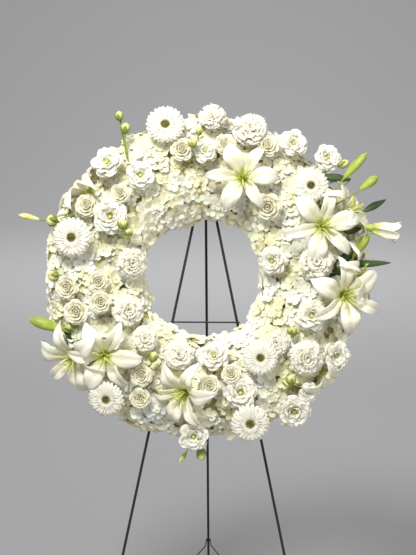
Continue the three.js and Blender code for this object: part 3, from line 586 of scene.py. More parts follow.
def rose(bm, place, size, pick):
    layers = [
        (5, [(0.02, -0.4), (0.08, -0.15), (0.13, 0.08), (0.13, 0.2)], [0.05, 0.14, 0.2, 0.14], 0.9),
        (5, [(0.04, -0.42), (0.2, -0.2), (0.3, 0.08), (0.36, 0.2)], [0.06, 0.24, 0.34, 0.24], 0.7),
        (6, [(0.05, -0.44), (0.34, -0.24), (0.5, 0.04), (0.63, 0.12)], [0.08, 0.3, 0.42, 0.3], 0.5),
        (6, [(0.06, -0.46), (0.45, -0.28), (0.7, -0.04), (0.86, 0.0)], [0.1, 0.34, 0.46, 0.33], 0.35),
        (6, [(0.06, -0.48), (0.5, -0.32), (0.82, -0.13), (1.0, -0.15)], [0.1, 0.36, 0.48, 0.32], 0.2),
    ]
    form = {"loose": 0.12, "grid": (8, 7), "wave": 0.03, "waves": 2, "blunt": 0.2}
    *inner, outer = layered(bm, place, layers, pick, **form)
    faces = sum(inner, [])
    paint(faces, PETAL)
    paint(outer, OUTER_PETAL)
    thicken(bm, faces + outer, THIN)
    calyx(bm, place, size, (-0.9, -0.74, -0.56, -0.4), (0.08, 0.18, 0.24, 0.18))


BLOOMS = {
    "lily": lily,
    "gerbera": gerbera,
    "carnation": carnation,
    "lisianthus": lisianthus,
    "rose": rose,
}


def bud(bm, u0, v0, u1, v1, out, radius, pick):
    """A closed bud with six soft ridges, from its base to its tip. Where its stem starts is returned."""
    base, tip = at(u0, v0, out), at(u1, v1, out + 4)
    long = (tip - base).length
    turn = (tip - base).to_track_quat("Z", "X").to_matrix().to_4x4()
    place = Matrix.Translation(base) @ turn
    verts = ball(bm, Matrix.Identity(4), 1, 1, BUD, (18, 12))
    widths = [0.1, 0.56, 0.8, 0.98, 1.0, 0.76, 0.04]
    for vert in verts:
        share = (vert.co.z + 1) / 2
        pole = math.hypot(vert.co.x, vert.co.y) < 1e-5
        angle = 0.0 if pole else math.atan2(vert.co.y, vert.co.x)
        wide = 0 if pole else between(widths, share) * radius * MM
        wide *= 1 + 0.07 * math.cos(3 * angle + share * 0.6) - 0.03 * abs(math.sin(3 * angle))
        vert.co = place @ Vector((wide * math.cos(angle), wide * math.sin(angle), share * long))
    if long < SHORT_BUD:
        wide = radius * MM
        line = [(0.15, -0.02), (0.95, 0.2), (1.12, 0.5), (1.1, 0.8)]
        line = [(r * wide, h * long) for r, h in line]
        widths = [share * wide for share in (0.2, 0.5, 0.36, 0.03)]
        faces = []
        for i in range(5):
            spot = turned(place, i * math.tau / 5, pick.uniform(0, 0.12))
            faces += petal(bm, spot, line, widths, grid=(2, 5), cup=0.4)
        paint(faces, GREEN)
        thicken(bm, faces, THIN)
    return base, (base - tip).normalized()


def half_open(bm, u0, v0, u1, v1, out, radius, pick):
    """A long bud whose tepals have begun to part and curl. Where its stem starts is returned."""
    base, tip = at(u0, v0, out), at(u1, v1, out + 4)
    long = (tip - base).length
    wide = radius * MM
    place = Matrix.Translation(base) @ (tip - base).to_track_quat("Z", "X").to_matrix().to_4x4()
    body = [(0.3, 0.0), (0.5, 0.12), (0.75, 0.3), (0.95, 0.5), (0.9, 0.62), (0.5, 0.68)]
    part_tube(bm, place, wide, [(0, 0, h * long) for _, h in body], [r for r, _ in body], 14, BUD)
    faces = []
    for i in range(6):
        curl = pick.uniform(0.7, 1.2) * (1.0 if i % 2 else 0.6)
        line = [
            (0.72 * wide, 0.3 * long),
            (1.0 * wide, 0.55 * long),
            (1.15 * wide, 0.78 * long),
            ((1.3 + 0.5 * curl) * wide, 0.95 * long),
            ((1.3 + 1.1 * curl) * wide, 0.98 * long),
        ]
        widths = [share * wide for share in (0.35, 0.72, 0.8, 0.55, 0.03)]
        spot = turned(place, i * math.tau / 6)
        faces += petal(bm, spot, line, widths, grid=(6, 10), cup=-0.35, wave=0.0012, phase=i)
    paint(faces, PETAL)
    thicken(bm, faces, 0.0008)
    return base, (base - tip).normalized()


def leaf(bm, u0, v0, u1, v1, out, half_width, droop=12):
    """A pointed leaf that folds along its midrib and droops back. Where its stem starts is returned."""
    base, tip = at(u0, v0, out), at(u1, v1, out)
    long = (tip - base).length
    ahead = (tip - base).normalized()
    front = Vector((0, -1, 0))
    side = ahead.cross(front).normalized()
    place = Matrix((ahead, side, ahead.cross(side))).transposed().to_4x4()
    if place.col[2].to_3d().dot(front) < 0:
        place = Matrix((ahead, -side, front)).transposed().to_4x4()
    line = [(long * t, -droop * MM * t * t) for t in (0, 0.25, 0.5, 0.75, 1)]
    widths = [half_width * MM * w for w in (0.22, 0.72, 1.0, 0.92, 0.6, 0.04)]
    place = Matrix.Translation(base) @ place
    faces = petal(bm, place, line, widths, grid=(6, 14), cup=-0.25, wave=0.0012, waves=3, phase=u0)
    paint(faces, LEAF)
    thicken(bm, faces, THICK)
    return base.lerp(tip, 0.06), -ahead


# Finished pieces


def mesh_from(bm, name, slots):
    mesh = bpy.data.meshes.new(name)
    bm.to_mesh(mesh)
    bm.free()
    for finish in slots:
        mesh.materials.append(finish)
    return mesh


def object_from(bm, name, slots):
    made = bpy.data.objects.new(name, mesh_from(bm, name, slots))
    bpy.context.scene.collection.objects.link(made)
    return made


def piece_from(bm, name, nodes, slots, body="stand"):
    """Makes a piece of the object, rides it on its body and lets it stand for the solids."""
    piece = object_from(bm, name, slots)
    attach(piece, body)
    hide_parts(*nodes)
    return piece


def dress_spray(name, root, parts, slots):
    """One stem: its blooms, buds and leaves, the branch to each and the foot in the foam."""
    bm = new_bmesh()
    joint, foot = at(*root, JOINT_OUT - 20), at(*root, STEM_END)
    pick = random.Random(name)
    for i, (kind, *rest) in enumerate(parts):
        if kind == "leaf":
            start, back = leaf(bm, *rest)
            radius = STEM_RADIUS * 0.7
        elif kind in BUDS:
            start, back = BUDS[kind](bm, *rest, pick)
            radius = STEM_RADIUS
        else:
            u, v, size, *how = rest
            place = place_of(u, v, how[0] if how else {})
            more = {}
            if kind == "lily":
                more = {"bare": name in BARE_LILIES, "anther": name in ANTHER_LILIES}
            BLOOMS[kind](bm, place @ Matrix.Scale(size * MM, 4), size * MM, pick, **more)
            start = place @ Vector((0, 0, -DEPTHS[kind] * size * MM))
            back = -place.col[2].to_3d()
            radius = STEM_RADIUS
        near = start - back * 4 * MM
        bend = start + back * 6 * MM
        path = smooth_path([near, start, bend, bend.lerp(joint, 0.5), joint], 9)
        tube(bm, path, [radius * MM] * len(path), 8, GREEN)
        if i == 0:
            stalk = [joint - (foot - joint) * 0.06, joint.lerp(foot, 0.5), foot]
            tube(bm, stalk, [STEM_RADIUS * MM] * len(stalk), 8, GREEN)
    bmesh.ops.transform(bm, matrix=WREATH, verts=bm.verts)
    return piece_from(bm, name + "_bloom", [name], slots)


BARE_LILIES = {"lily_side_upper_left", "lily_side_lower_right"}  # seen from behind, without stamens
ANTHER_LILIES = {"lily_bottom"}  # one of its stamens keeps its dark anther
BUDS = {"bud": bud, "half_open": half_open}
DEPTHS = {"lily": 0.72, "gerbera": 0.3, "carnation": 0.85, "lisianthus": 0.85, "rose": 0.85}


# Heads of florets

FLORET, MIDDLE, CORE, BACK_LEAF = range(4)  # a head's slots
CORE_SINK = 9  # how deep a core lies under its florets
CORE_GAP = 0.004  # the angle left free at each end of a core
CORE_SPILL, ROW_SPILL = 0.22, 0.24  # how far a core and its rows go past the bed's half circle
SWELL, SCATTER = 21, 5  # how the florets rise and fall, over a hand's breadth and one by one
SKIPPED = 0.03  # the share of florets left out
COVER = 0.034  # how far in front of a bloom no floret stands, in metres
LOOK_AHEAD = Vector((0, -0.4, 0))  # florets turn a little to the front
BACK_ROWS = ((313, 50, 10), (222, -60, 6))  # the leaves' start radius, their length and how many a head has


def bed_at(turn, over, lift):
    half = BED_OUTER if math.cos(over) > 0 else BED_INNER
    radius = RING_RADIUS + (half + lift) * math.cos(over)
    out = BED_OUT + (BED_HEIGHT + lift) * math.sin(over)
    return at(radius * math.cos(turn), radius * math.sin(turn), max(out, 6))


def floret_mesh(slots, pick):
    """A floret of four round petals, one of a few that the heads are made of."""
    bm = new_bmesh()
    for i in range(4):
        made = bmesh.ops.create_uvsphere(bm, u_segments=10, v_segments=2, radius=1)
        angle = i * math.tau / 4 + pick.uniform(-0.1, 0.1)
        turn = turned(Matrix.Identity(4), angle, pick.uniform(-0.4, 0.12))
        for vert in made["verts"]:
            x, y, z = vert.co
            reach = 0.52 + 0.48 * x
            side = 0.54 * y * (0.9 + 0.22 * x)
            height = 0.036 * (x + 1) ** 2 + 0.1 * y * y + 0.07 * x * y
            if abs(x) < 0.01 and abs(y) < 0.01:
                height -= 0.02 if z > 0 else 0.06
            vert.co = turn @ Vector((reach, side, height))
        poles = {vert for vert in made["verts"] if len(vert.link_edges) > 5}
        for edge in {edge for vert in made["verts"] for edge in vert.link_edges}:
            edge.smooth = bool(poles & set(edge.verts))
        paint(faces_of(made["verts"]), FLORET)
    middle = Matrix.Translation((0, 0, 0.03))
    made = bmesh.ops.create_icosphere(bm, subdivisions=1, radius=0.1, matrix=middle)
    paint(faces_of(made["verts"]), MIDDLE)
    return mesh_from(bm, "floret", slots)


def rooms_of_blooms():
    """Where each bloom stands: its face, which way it looks, its radius and how deep it goes."""
    rooms = []
    for _, _, root, parts in SPRAYS:
        for kind, *rest in parts:
            if kind in BLOOMS:
                u, v, size, *how = rest
                place = place_of(u, v, how[0] if how else {})
                radius = size * (0.62 if kind == "lily" else 0.9)
                depth = DEPTHS[kind] * size * MM
                rooms.append((place.translation, place.col[2].to_3d(), radius * MM, depth))
    return rooms


def is_under(point, rooms):
    for face, ahead, radius, depth in rooms:
        offset = point - face
        height = offset.dot(ahead)
        aside = (offset - ahead * height).length
        reach = radius if height > -0.25 * depth else radius * max(1 + height / (1.1 * depth), 0)
        if -depth < height < COVER and aside < reach:
            return True
    return False


def rows_over(pitch):
    """The angles over the bed's back where rows of florets stand, evenly apart along its section."""
    rows = []
    over, walked = -ROW_SPILL, pitch
    while over < math.pi + ROW_SPILL:
        if walked >= pitch:
            rows.append(over)
            walked = 0
        half = BED_OUTER if math.cos(over) > 0 else BED_INNER
        walked += math.hypot(half * math.sin(over), BED_HEIGHT * math.cos(over)) * 0.01
        over += 0.01
    return rows


def back_leaves(bm, low, sweep, pick):
    """The florets' own leaves, which lie flat on the wreath's back from the tray out to its edges."""
    faces = []
    for start, long, count in BACK_ROWS:
        for i in range(count):
            turn = low + sweep * (i + 0.5 + pick.uniform(-0.2, 0.2)) / count
            base = at(start * math.cos(turn), start * math.sin(turn), 5.2 - 0.5 * (i % 3))
            swing = turn + pick.uniform(-0.25, 0.25)
            away = Vector((math.cos(swing), 0, math.sin(swing))) * math.copysign(1, long)
            back = Vector((0, 1, 0))
            turned_out = Matrix((away, back.cross(away), back)).transposed().to_4x4()
            place = Matrix.Translation(base) @ turned_out
            reach = abs(long) * MM * pick.uniform(0.9, 1.1)
            line = [(0, 0), (0.35 * reach, 0.0004), (0.7 * reach, 0.0), (reach, -0.003)]
            widths = [0.004, 0.019, 0.02, 0.011, 0.0008]
            faces += petal(bm, place, line, widths, grid=(4, 7), cup=-0.06, wave=0.0006)
    paint(faces, BACK_LEAF)
    thicken(bm, faces, THIN)


def head_core(bm, low, sweep):
    """The closed core under a head's florets, a share of the ring. Its dark colour is painted shade in the
    gaps between the florets.
    """
    steps, sides = 12, 20
    section = [-CORE_SPILL + (math.pi + 2 * CORE_SPILL) * i / (sides - 1) for i in range(sides)]
    ring = bmesh.ops.create_circle(bm, segments=sides, radius=1.0)["verts"]
    ring.sort(key=lambda vert: math.atan2(vert.co.y, vert.co.x))
    for vert, over in zip(ring, section):
        vert.co = bed_at(low + CORE_GAP, over, -CORE_SINK)
    edges = list({edge for vert in ring for edge in vert.link_edges})
    first = edges
    order = dict(zip(ring, section))
    for step in range(1, steps + 1):
        turn = low + CORE_GAP + (sweep - 2 * CORE_GAP) * step / steps
        verts, edges = extruded(bm, edges)
        following = {}
        for vert in verts:
            source = min(order, key=lambda old: (old.co - vert.co).length_squared)
            following[vert] = order[source]
        for vert, over in following.items():
            vert.co = bed_at(turn, over, -CORE_SINK)
        order = following
    capped(bm, first, edges)
    bmesh.ops.recalc_face_normals(bm, faces=bm.faces)
    paint(bm.faces, CORE)


def dress_head(index, heads, pitch, size, slots, rooms):
    """One head of florets over its share of the ring, with a closed core under them."""
    bm = new_bmesh()
    pick = random.Random(100 + index)
    sweep = math.tau / heads
    low = index * sweep
    head_core(bm, low, sweep)
    back_leaves(bm, low, sweep, pick)
    florets = [floret_mesh(slots, pick) for _ in range(3)]
    for row, over in enumerate(rows_over(pitch * 0.85)):
        half = BED_OUTER if math.cos(over) > 0 else BED_INNER
        reach = RING_RADIUS + half * math.cos(over)
        count = max(round(sweep * reach / pitch), 3)
        offset = 0.75 if row % 2 else 0.25
        for column in range(count):
            turn = low + sweep * (column + offset + pick.uniform(-0.18, 0.18)) / count
            tip = over + pick.uniform(-0.05, 0.05)
            swell = SWELL * noise.noise(bed_at(turn, tip, 0) * 17)
            spot = bed_at(turn, tip, swell + pick.uniform(-SCATTER, SCATTER))
            if is_under(spot, rooms) or pick.random() < SKIPPED:
                continue
            away = bed_at(turn, tip, 14) - spot
            if away.length < 1e-4:
                away = Vector((math.cos(turn), 0, math.sin(turn)))
            away = away.normalized() + LOOK_AHEAD
            away += Vector([pick.uniform(-0.38, 0.38) for _ in range(3)])
            face = away.to_track_quat("Z", "X").to_matrix().to_4x4()
            scale = size * 0.5 * MM * pick.uniform(0.72, 1.12)
            spin = Matrix.Rotation(pick.uniform(0, math.tau), 4, "Z")
            floret = florets[pick.randrange(3)].copy()
            floret.transform(Matrix.Translation(spot) @ face @ spin @ Matrix.Scale(scale, 4))
            bm.from_mesh(floret)
            bpy.data.meshes.remove(floret)
    for floret in florets:
        bpy.data.meshes.remove(floret)
    bmesh.ops.transform(bm, matrix=WREATH, verts=bm.verts)
    name = f"hydrangea_{index + 1:02d}"
    return piece_from(bm, name + "_head", [name], slots)


# Easel


def leg_aside(along):
    return FOOT_HALF * (1 - along / APEX)


def hinge_point(x):
    return lean(x, -HINGE_BEHIND, HINGE_ALONG)


def eye(bm, place, outer, inner, half):
    """A bored boss round the X axis of its place, turned from its section."""
    corners = [(-half, outer), (half, outer), (half, inner), (-half, inner)]
    verts = [bm.verts.new(place @ (Vector((x, 0, r)) * MM)) for x, r in corners]
    edges = [bm.edges.new((verts[i], verts[(i + 1) % 4])) for i in range(4)]
    bmesh.ops.spin(
        bm,
        geom=verts + edges,
        cent=place.translation,
        axis=place.col[0].to_3d(),
        angle=math.tau,
        steps=32,
        use_merge=True,
        use_duplicate=False,
    )


def turned_piece(name, nodes, build, finish, body="stand"):
    bm = new_bmesh()
    build(bm)
    bmesh.ops.remove_doubles(bm, verts=bm.verts, dist=1e-6)
    bmesh.ops.recalc_face_normals(bm, faces=bm.faces)
    piece = piece_from(bm, name, nodes, [finish], body)
    soften = piece.modifiers.new("edge", "BEVEL")
    soften.width = 0.0004
    soften.segments = 2
    soften.limit_method = "ANGLE"
    soften.angle_limit = math.radians(50)
    return piece


def rounded_rod(bm, start, end, radius, sides=20):
    """A straight rod with softly rounded ends."""
    ahead = (end - start).normalized() * MM
    points = [start, start + ahead * 0.5, start + ahead * 1.5, end - ahead * 1.5, end - ahead * 0.5, end]
    return tube(bm, points, [r * radius * MM for r in (0.72, 0.93, 1, 1, 0.93, 0.72)], sides, 0)


def front_leg(side):
    def build(bm):
        aside = side * leg_aside(BRACE_ALONG)
        turn = Matrix.Translation(lean(aside, -BRACE_BEHIND, BRACE_ALONG))
        eye(bm, turn, 4.3, 1.9, 2.5)
        foot = lean(side * leg_aside(0.7), 0, 0.7)
        rounded_rod(bm, foot, lean(side * leg_aside(LEG_TOP), 0, LEG_TOP), LEG_RADIUS)

    return build


def rear_leg(bm):
    eye(bm, Matrix.Translation(hinge_point(0)), 5, 2.12, 5.4)
    top = hinge_point(0)
    end = Vector((0, REAR_FOOT * MM, 0.0032)) + Vector((SHIFT.x, SHIFT.y, 0))
    down = (end - top).normalized()
    rounded_rod(bm, top + down * 3.6 * MM, end, LEG_RADIUS)


def hinge_pin(bm):
    rounded_rod(bm, hinge_point(-PIN_HALF), hinge_point(PIN_HALF), PIN_RADIUS)
    for side in (-1, 1):
        start, end = hinge_point(side * PIN_HEAD_FROM), hinge_point(side * PIN_HEAD_TO)
        rounded_rod(bm, start, end, PIN_HEAD_RADIUS)


def crossbar(bm):
    out = LEG_RADIUS + 0.3 + WIRE_RADIUS
    half = leg_aside(CROSSBAR_ALONG) + LEG_RADIUS + 3
    start, end = lean(-half, out, CROSSBAR_ALONG), lean(half, out, CROSSBAR_ALONG)
    rounded_rod(bm, start, end, WIRE_RADIUS + CROSSBAR_EXTRA, 14)


def brace_arm(side):
    def build(bm):
        top = hinge_point(0)
        foot = Vector((SHIFT.x, SHIFT.y + REAR_FOOT * MM, 0))
        end = top.lerp(foot, (top.z - BRACE_REAR * MM) / top.z)
        along = (end - lean(0, -BRACE_BEHIND, BRACE_ALONG)).normalized()
        rise = Vector((1, 0, 0)).cross(along)
        height = side * 1.8

        def place(x, forward, up):
            return end + (Vector((side * x, 0, 0)) - along * forward + rise * up) * MM

        aside = leg_aside(BRACE_ALONG)
        points = [
            lean(side * (aside + 7.5), -BRACE_BEHIND, BRACE_ALONG),
            lean(side * (aside + 1), -BRACE_BEHIND, BRACE_ALONG),
            lean(side * (aside - 5.5), -BRACE_BEHIND, BRACE_ALONG) + along * 0.6 * MM,
            lean(side * (aside - 8.5), -BRACE_BEHIND, BRACE_ALONG) + along * 4 * MM,
            place(BRACE_HOOK + 2.5, 30, height),
            place(BRACE_HOOK, 6, height),
        ]
        for i in range(9):
            angle = i / 8 * math.pi
            points.append(place(BRACE_HOOK * math.cos(angle), -BRACE_HOOK * math.sin(angle), height))
        points.append(place(-BRACE_HOOK, 3, height))
        tube(bm, points, [WIRE_RADIUS * MM] * len(points), 12, 0)

    return build


def ring_from(profile):
    """A ring in the wreath's plane, turned from a closed section of radius and out."""

    def build(bm):
        verts = [bm.verts.new(at(radius, 0, out)) for radius, out in profile]
        edges = [bm.edges.new((verts[i], verts[(i + 1) % len(verts)])) for i in range(len(verts))]
        bmesh.ops.spin(
            bm,
            geom=verts + edges,
            cent=(0, 0, 0),
            axis=(0, 1, 0),
            angle=math.tau,
            steps=96,
            use_merge=True,
        )
        bmesh.ops.remove_doubles(bm, verts=bm.verts, dist=1e-6)
        bmesh.ops.transform(bm, matrix=WREATH, verts=bm.verts)
        for face in bm.faces:
            face.smooth = False

    return build


TRAY = ring_from(
    [(226, 3.5), (310, 3.5), (310, 20), (308, 20), (308, 5.5), (228, 5.5), (228, 20), (226, 20)]
)
FOAM = ring_from([(228.4, 6), (307.6, 6), (307.6, 44), (291.6, 60), (244.4, 60), (228.4, 44)])


def hanger(bm):
    along, front, behind = 1403.6, 3.2, -6.0
    points = [
        lean(-21, front, along + 6),
        lean(-21, behind + 2.5, along + 1.5),
        lean(-18, behind, along),
        lean(18, behind, along),
        lean(21, behind + 2.5, along + 1.5),
        lean(21, front, along + 6),
    ]
    tube(bm, points, [1.3 * MM] * len(points), 12, 0)


# Finishes


class Nodes:
    """A material's node tree, and short ways to add to it."""

    def __init__(self, name):
        self.material = bpy.data.materials.new(name)
        self.material.use_nodes = True
        self.tree = self.material.node_tree
        self.shader = self.tree.nodes["Principled BSDF"]

    def add(self, kind, **values):
        node = self.tree.nodes.new(kind)
        for key, value in values.items():
            setattr(node, key, value)
        return node

    def link(self, out, into):
        self.tree.links.new(out, into)

    def split(self, vector):
        """The X and the Y of a vector."""
        node = self.add("ShaderNodeSeparateXYZ")
        self.link(vector, node.inputs["Vector"])
        return node.outputs["X"], node.outputs["Y"]

    def ramp(self, factor, stops):
        node = self.add("ShaderNodeValToRGB")
        node.color_ramp.interpolation = "EASE"
        while len(node.color_ramp.elements) < len(stops):
            node.color_ramp.elements.new(0.5)
        for element, (place, colour) in zip(node.color_ramp.elements, stops):
            element.position = place
            element.color = (*colour, 1)
        self.link(factor, node.inputs["Fac"])
        return node.outputs["Color"]

    def mix(self, factor, one, other, blend="MIX"):
        node = self.add("ShaderNodeMix", data_type="RGBA", blend_type=blend)
        for socket, value in (("Factor", factor), ("A", one), ("B", other)):
            slot = next(s for s in node.inputs if s.name == socket and s.enabled)
            if isinstance(value, bpy.types.NodeSocket):
                self.link(value, slot)
            elif socket == "Factor":
                slot.default_value = value
            else:
                slot.default_value = (*value, 1)
        return next(s for s in node.outputs if s.enabled)

    def number(self, operation, one, other=0.5):
        node = self.add("ShaderNodeMath", operation=operation)
        for slot, value in zip(node.inputs, (one, other)):
            if isinstance(value, bpy.types.NodeSocket):
                self.link(value, slot)
            else:
                slot.default_value = value
        return node.outputs["Value"]

    def noise(self, scale, detail=3.0):
        where = self.add("ShaderNodeTexCoord")
        node = self.add("ShaderNodeTexNoise")
        node.inputs["Scale"].default_value = scale
        node.inputs["Detail"].default_value = detail
        self.link(where.outputs["Object"], node.inputs["Vector"])
        return node.outputs["Fac"]

    def bump(self, height, strength, distance):
        node = self.add("ShaderNodeBump")
        node.inputs["Strength"].default_value = strength
        node.inputs["Distance"].default_value = distance
        self.link(height, node.inputs["Height"])
        self.link(node.outputs["Normal"], self.shader.inputs["Normal"])

    def set(self, **values):
        for key, value in values.items():
            self.shader.inputs[key.replace("_", " ")].default_value = value


def petal_finish(name, along, colour, rib=None, rough=0.55, veins=40.0, soft=0.25):
    """A petal: its colour runs from base to tip, with fine veins along it and a rib if it has one."""
    made = Nodes(name)
    across, lengthwise = made.split(made.add("ShaderNodeUVMap", uv_map="UVMap").outputs["UV"])
    base = made.ramp(lengthwise, along)
    if rib:
        aside = made.number("ABSOLUTE", made.number("SUBTRACT", across, 0.5))
        near = made.number("SUBTRACT", 1.0, made.number("MULTIPLY", aside, 13.0))
        near = made.number("MULTIPLY", made.number("MAXIMUM", near, 0.0), rib[1])
        fade = made.number("SUBTRACT", 1.0, made.number("MULTIPLY", lengthwise, 0.95))
        base = made.mix(made.number("MULTIPLY", near, fade), base, rib[0])
    patch = made.number("MULTIPLY", made.noise(28.0), 0.16)
    base = made.mix(patch, base, colour)
    made.link(base, made.shader.inputs["Base Color"])
    vein = made.number("SINE", made.number("MULTIPLY", across, veins * 2), 0.0)
    vein = made.number("ADD", vein, made.number("MULTIPLY", made.noise(160.0, 2.0), 2.5))
    made.bump(vein, 0.32, 0.0006)
    made.set(Roughness=rough, Subsurface_Weight=soft, Subsurface_Scale=0.003, Sheen_Weight=0.08)
    made.shader.inputs["Subsurface Radius"].default_value = (1.0, 0.9, 0.7)
    return made.material


def shaded(colour, share):
    return tuple(part * share for part in colour)


def plain_finish(name, dark, light, scale, rough, bump=0.0, distance=0.0004, **values):
    """A surface whose colour wanders between two, with a fine bump."""
    made = Nodes(name)
    wander = made.noise(scale, 4.0)
    made.link(made.ramp(wander, [(0.3, dark), (0.7, light)]), made.shader.inputs["Base Color"])
    if bump:
        made.bump(made.noise(scale * 6, 5.0), bump, distance)
    made.set(Roughness=rough, **values)
    return made.material


def leaf_finish(name, dark, light, rough):
    """A glossy leaf with a pale midrib and veins along it."""
    made = Nodes(name)
    across, _ = made.split(made.add("ShaderNodeUVMap", uv_map="UVMap").outputs["UV"])
    aside = made.number("ABSOLUTE", made.number("SUBTRACT", across, 0.5))
    base = made.mix(made.noise(45.0), dark, light)
    near = made.number("MAXIMUM", made.number("SUBTRACT", 1.0, made.number("MULTIPLY", aside, 22.0)), 0.0)
    base = made.mix(made.number("MULTIPLY", near, 0.5), base, shaded(light, 2.2))
    made.link(base, made.shader.inputs["Base Color"])
    lines = made.number("SINE", made.number("MULTIPLY", across, 70.0), 0.0)
    made.bump(lines, 0.35, 0.0004)
    made.set(Roughness=rough, Coat_Weight=0.12, Coat_Roughness=0.3)
    return made.material


# A petal's finish: its material, its colours from base to tip, the colour of its soft patches, the rest.
PETALS = {
    "lily": (
        "lily_petal",
        [
            (0.0, (0.42, 0.5, 0.12)),
            (0.12, (0.68, 0.68, 0.16)),
            (0.26, (0.94, 0.89, 0.64)),
            (1.0, (0.98, 0.93, 0.83)),
        ],
        (0.95, 0.9, 0.72),
        {"rib": ((0.74, 0.7, 0.28), 0.45), "rough": 0.42},
    ),
    "gerbera": (
        "gerbera_ray",
        [(0.0, (0.74, 0.7, 0.5)), (0.25, (0.9, 0.87, 0.72)), (1.0, "petal")],
        (0.9, 0.88, 0.76),
        {"veins": 18.0},
    ),
    "carnation": (
        "carnation_petal",
        [(0.0, (0.66, 0.62, 0.3)), (0.5, (0.92, 0.86, 0.6)), (1.0, (0.95, 0.91, 0.75))],
        (0.92, 0.88, 0.72),
        {"rough": 0.7},
    ),
    "lisianthus": (
        "lisianthus_petal",
        [(0.0, (0.4, 0.45, 0.08)), (0.28, (0.88, 0.86, 0.6)), (1.0, (0.95, 0.92, 0.78))],
        (0.93, 0.91, 0.8),
        {"rough": 0.6},
    ),
    "rose": (
        "rose_petal",
        [(0.0, (0.74, 0.68, 0.26)), (0.3, (0.9, 0.84, 0.5)), (0.6, (0.95, 0.9, 0.64)), (1.0, "cream")],
        (0.92, 0.88, 0.7),
        {"rough": 0.62},
    ),
    "outer_petal": (
        "rose_outer_petal",
        [(0.0, (0.5, 0.56, 0.2)), (0.5, (0.86, 0.85, 0.6)), (1.0, (0.92, 0.91, 0.76))],
        (0.84, 0.86, 0.6),
        {"rough": 0.62},
    ),
}
SOFT = {"Subsurface_Weight": 0.2, "Subsurface_Scale": 0.003}
FIRM = {"Subsurface_Weight": 0.15, "Subsurface_Scale": 0.003}

# A plain finish: its material, two colours, the scale of their wander, roughness, bump and the rest.
PLAIN = {
    "hydrangea": ("floret_petal", (0.92, 0.85, 0.52), "floret", 17.0, 0.65, 0.3, SOFT),
    "floret_middle": ("floret_middle", (0.7, 0.68, 0.3), (0.84, 0.8, 0.46), 90.0, 0.7, 0.0, {}),
    # the floret core's dark olive and tan are painted shade, seen in the gaps between the florets
    "core": ("floret_core", (0.42, 0.36, 0.1), (0.62, 0.54, 0.2), 40.0, 0.9, 0.5, {}),
    "stem": ("stem_green", (0.2, 0.27, 0.035), (0.33, 0.4, 0.07), 30.0, 0.5, 0.2, {}),
    "stamen": ("stamen_green", (0.46, 0.54, 0.07), (0.66, 0.7, 0.2), 60.0, 0.5, 0.0, {}),
    "centre_dark": ("gerbera_eye", (0.07, 0.055, 0.015), (0.3, 0.29, 0.07), 150.0, 0.8, 0.0, {}),
    "centre_tan": ("gerbera_ring", (0.42, 0.32, 0.07), (0.72, 0.62, 0.2), 150.0, 0.8, 0.0, {}),
    "bud_green": ("lily_bud", (0.24, 0.34, 0.03), (0.46, 0.54, 0.09), 30.0, 0.45, 0.2, FIRM),
    "bud_cream": ("small_bud", (0.56, 0.58, 0.14), (0.8, 0.78, 0.38), 60.0, 0.55, 0.2, FIRM),
    "tray": ("tray_plastic", (0.02, 0.05, 0.024), (0.03, 0.07, 0.034), 20.0, 0.45, 0.05, {}),
    "foam": ("wet_foam", (0.05, 0.12, 0.045), (0.09, 0.19, 0.07), 120.0, 0.95, 0.9, {"distance": 0.001}),
}
FINISHES = {}


def finish_named(name):
    if name not in FINISHES:
        raise RuntimeError(f"the finish {name} is made by the finishes operator, which runs first")
    return FINISHES[name]


def stem_slots(kind):
    """The finishes of a stem, in the order of its slots. The leafy stems carry lilies."""
    petals = "lily" if kind == "leaf" else kind
    buds = "bud_cream" if kind in ("lisianthus", "rose") else "bud_green"
    names = [petals, "stem", "stamen", "centre_dark", "centre_tan", "outer_petal", buds, "leaf"]
    return [finish_named(name) for name in names]


# What a user may change


class WreathColours(bpy.types.PropertyGroup):
    petal: FloatVectorProperty(
        name="Petals",
        description="Colour of the white petals",
        default=(0.95, 0.895, 0.72),
        size=3,
        subtype="COLOR",
    )
    cream: FloatVectorProperty(
        name="Roses",
        description="Colour of the small roses",
        default=(0.95, 0.89, 0.67),
        size=3,
        subtype="COLOR",
    )
    floret: FloatVectorProperty(
        name="Florets",
        description="Colour of the florets",
        default=(0.95, 0.92, 0.82),
        size=3,
        subtype="COLOR",
    )
    leaf: FloatVectorProperty(
        name="Leaves",
        description="Colour of the dark leaves",
        default=(0.045, 0.095, 0.016),
        size=3,
        subtype="COLOR",
    )
    wire: FloatVectorProperty(
        name="Easel",
        description="Colour of the easel's paint",
        default=(0.012, 0.013, 0.013),
        size=3,
        subtype="COLOR",
    )
    backdrop: FloatVectorProperty(
        name="Backdrop",
        description="Colour of the floor and backdrop",
        default=(0.5, 0.5, 0.51),
        size=3,
        subtype="COLOR",
    )


class WreathSizes(bpy.types.PropertyGroup):
    heads: IntProperty(
        name="Floret heads", description="How many heads go round the ring", default=10, min=3
    )
    floret: FloatProperty(
        name="Floret", description="Width of one floret in millimetres", default=34.0, min=8.0
    )
    pitch: FloatProperty(
        name="Floret pitch",
        description="From one floret to the next in millimetres",
        default=18.0,
        min=8.0,
    )
    distance: FloatProperty(
        name="Camera distance",
        description="From the ring to the camera",
        default=3.5,
        min=1.0,
        unit="LENGTH",
    )


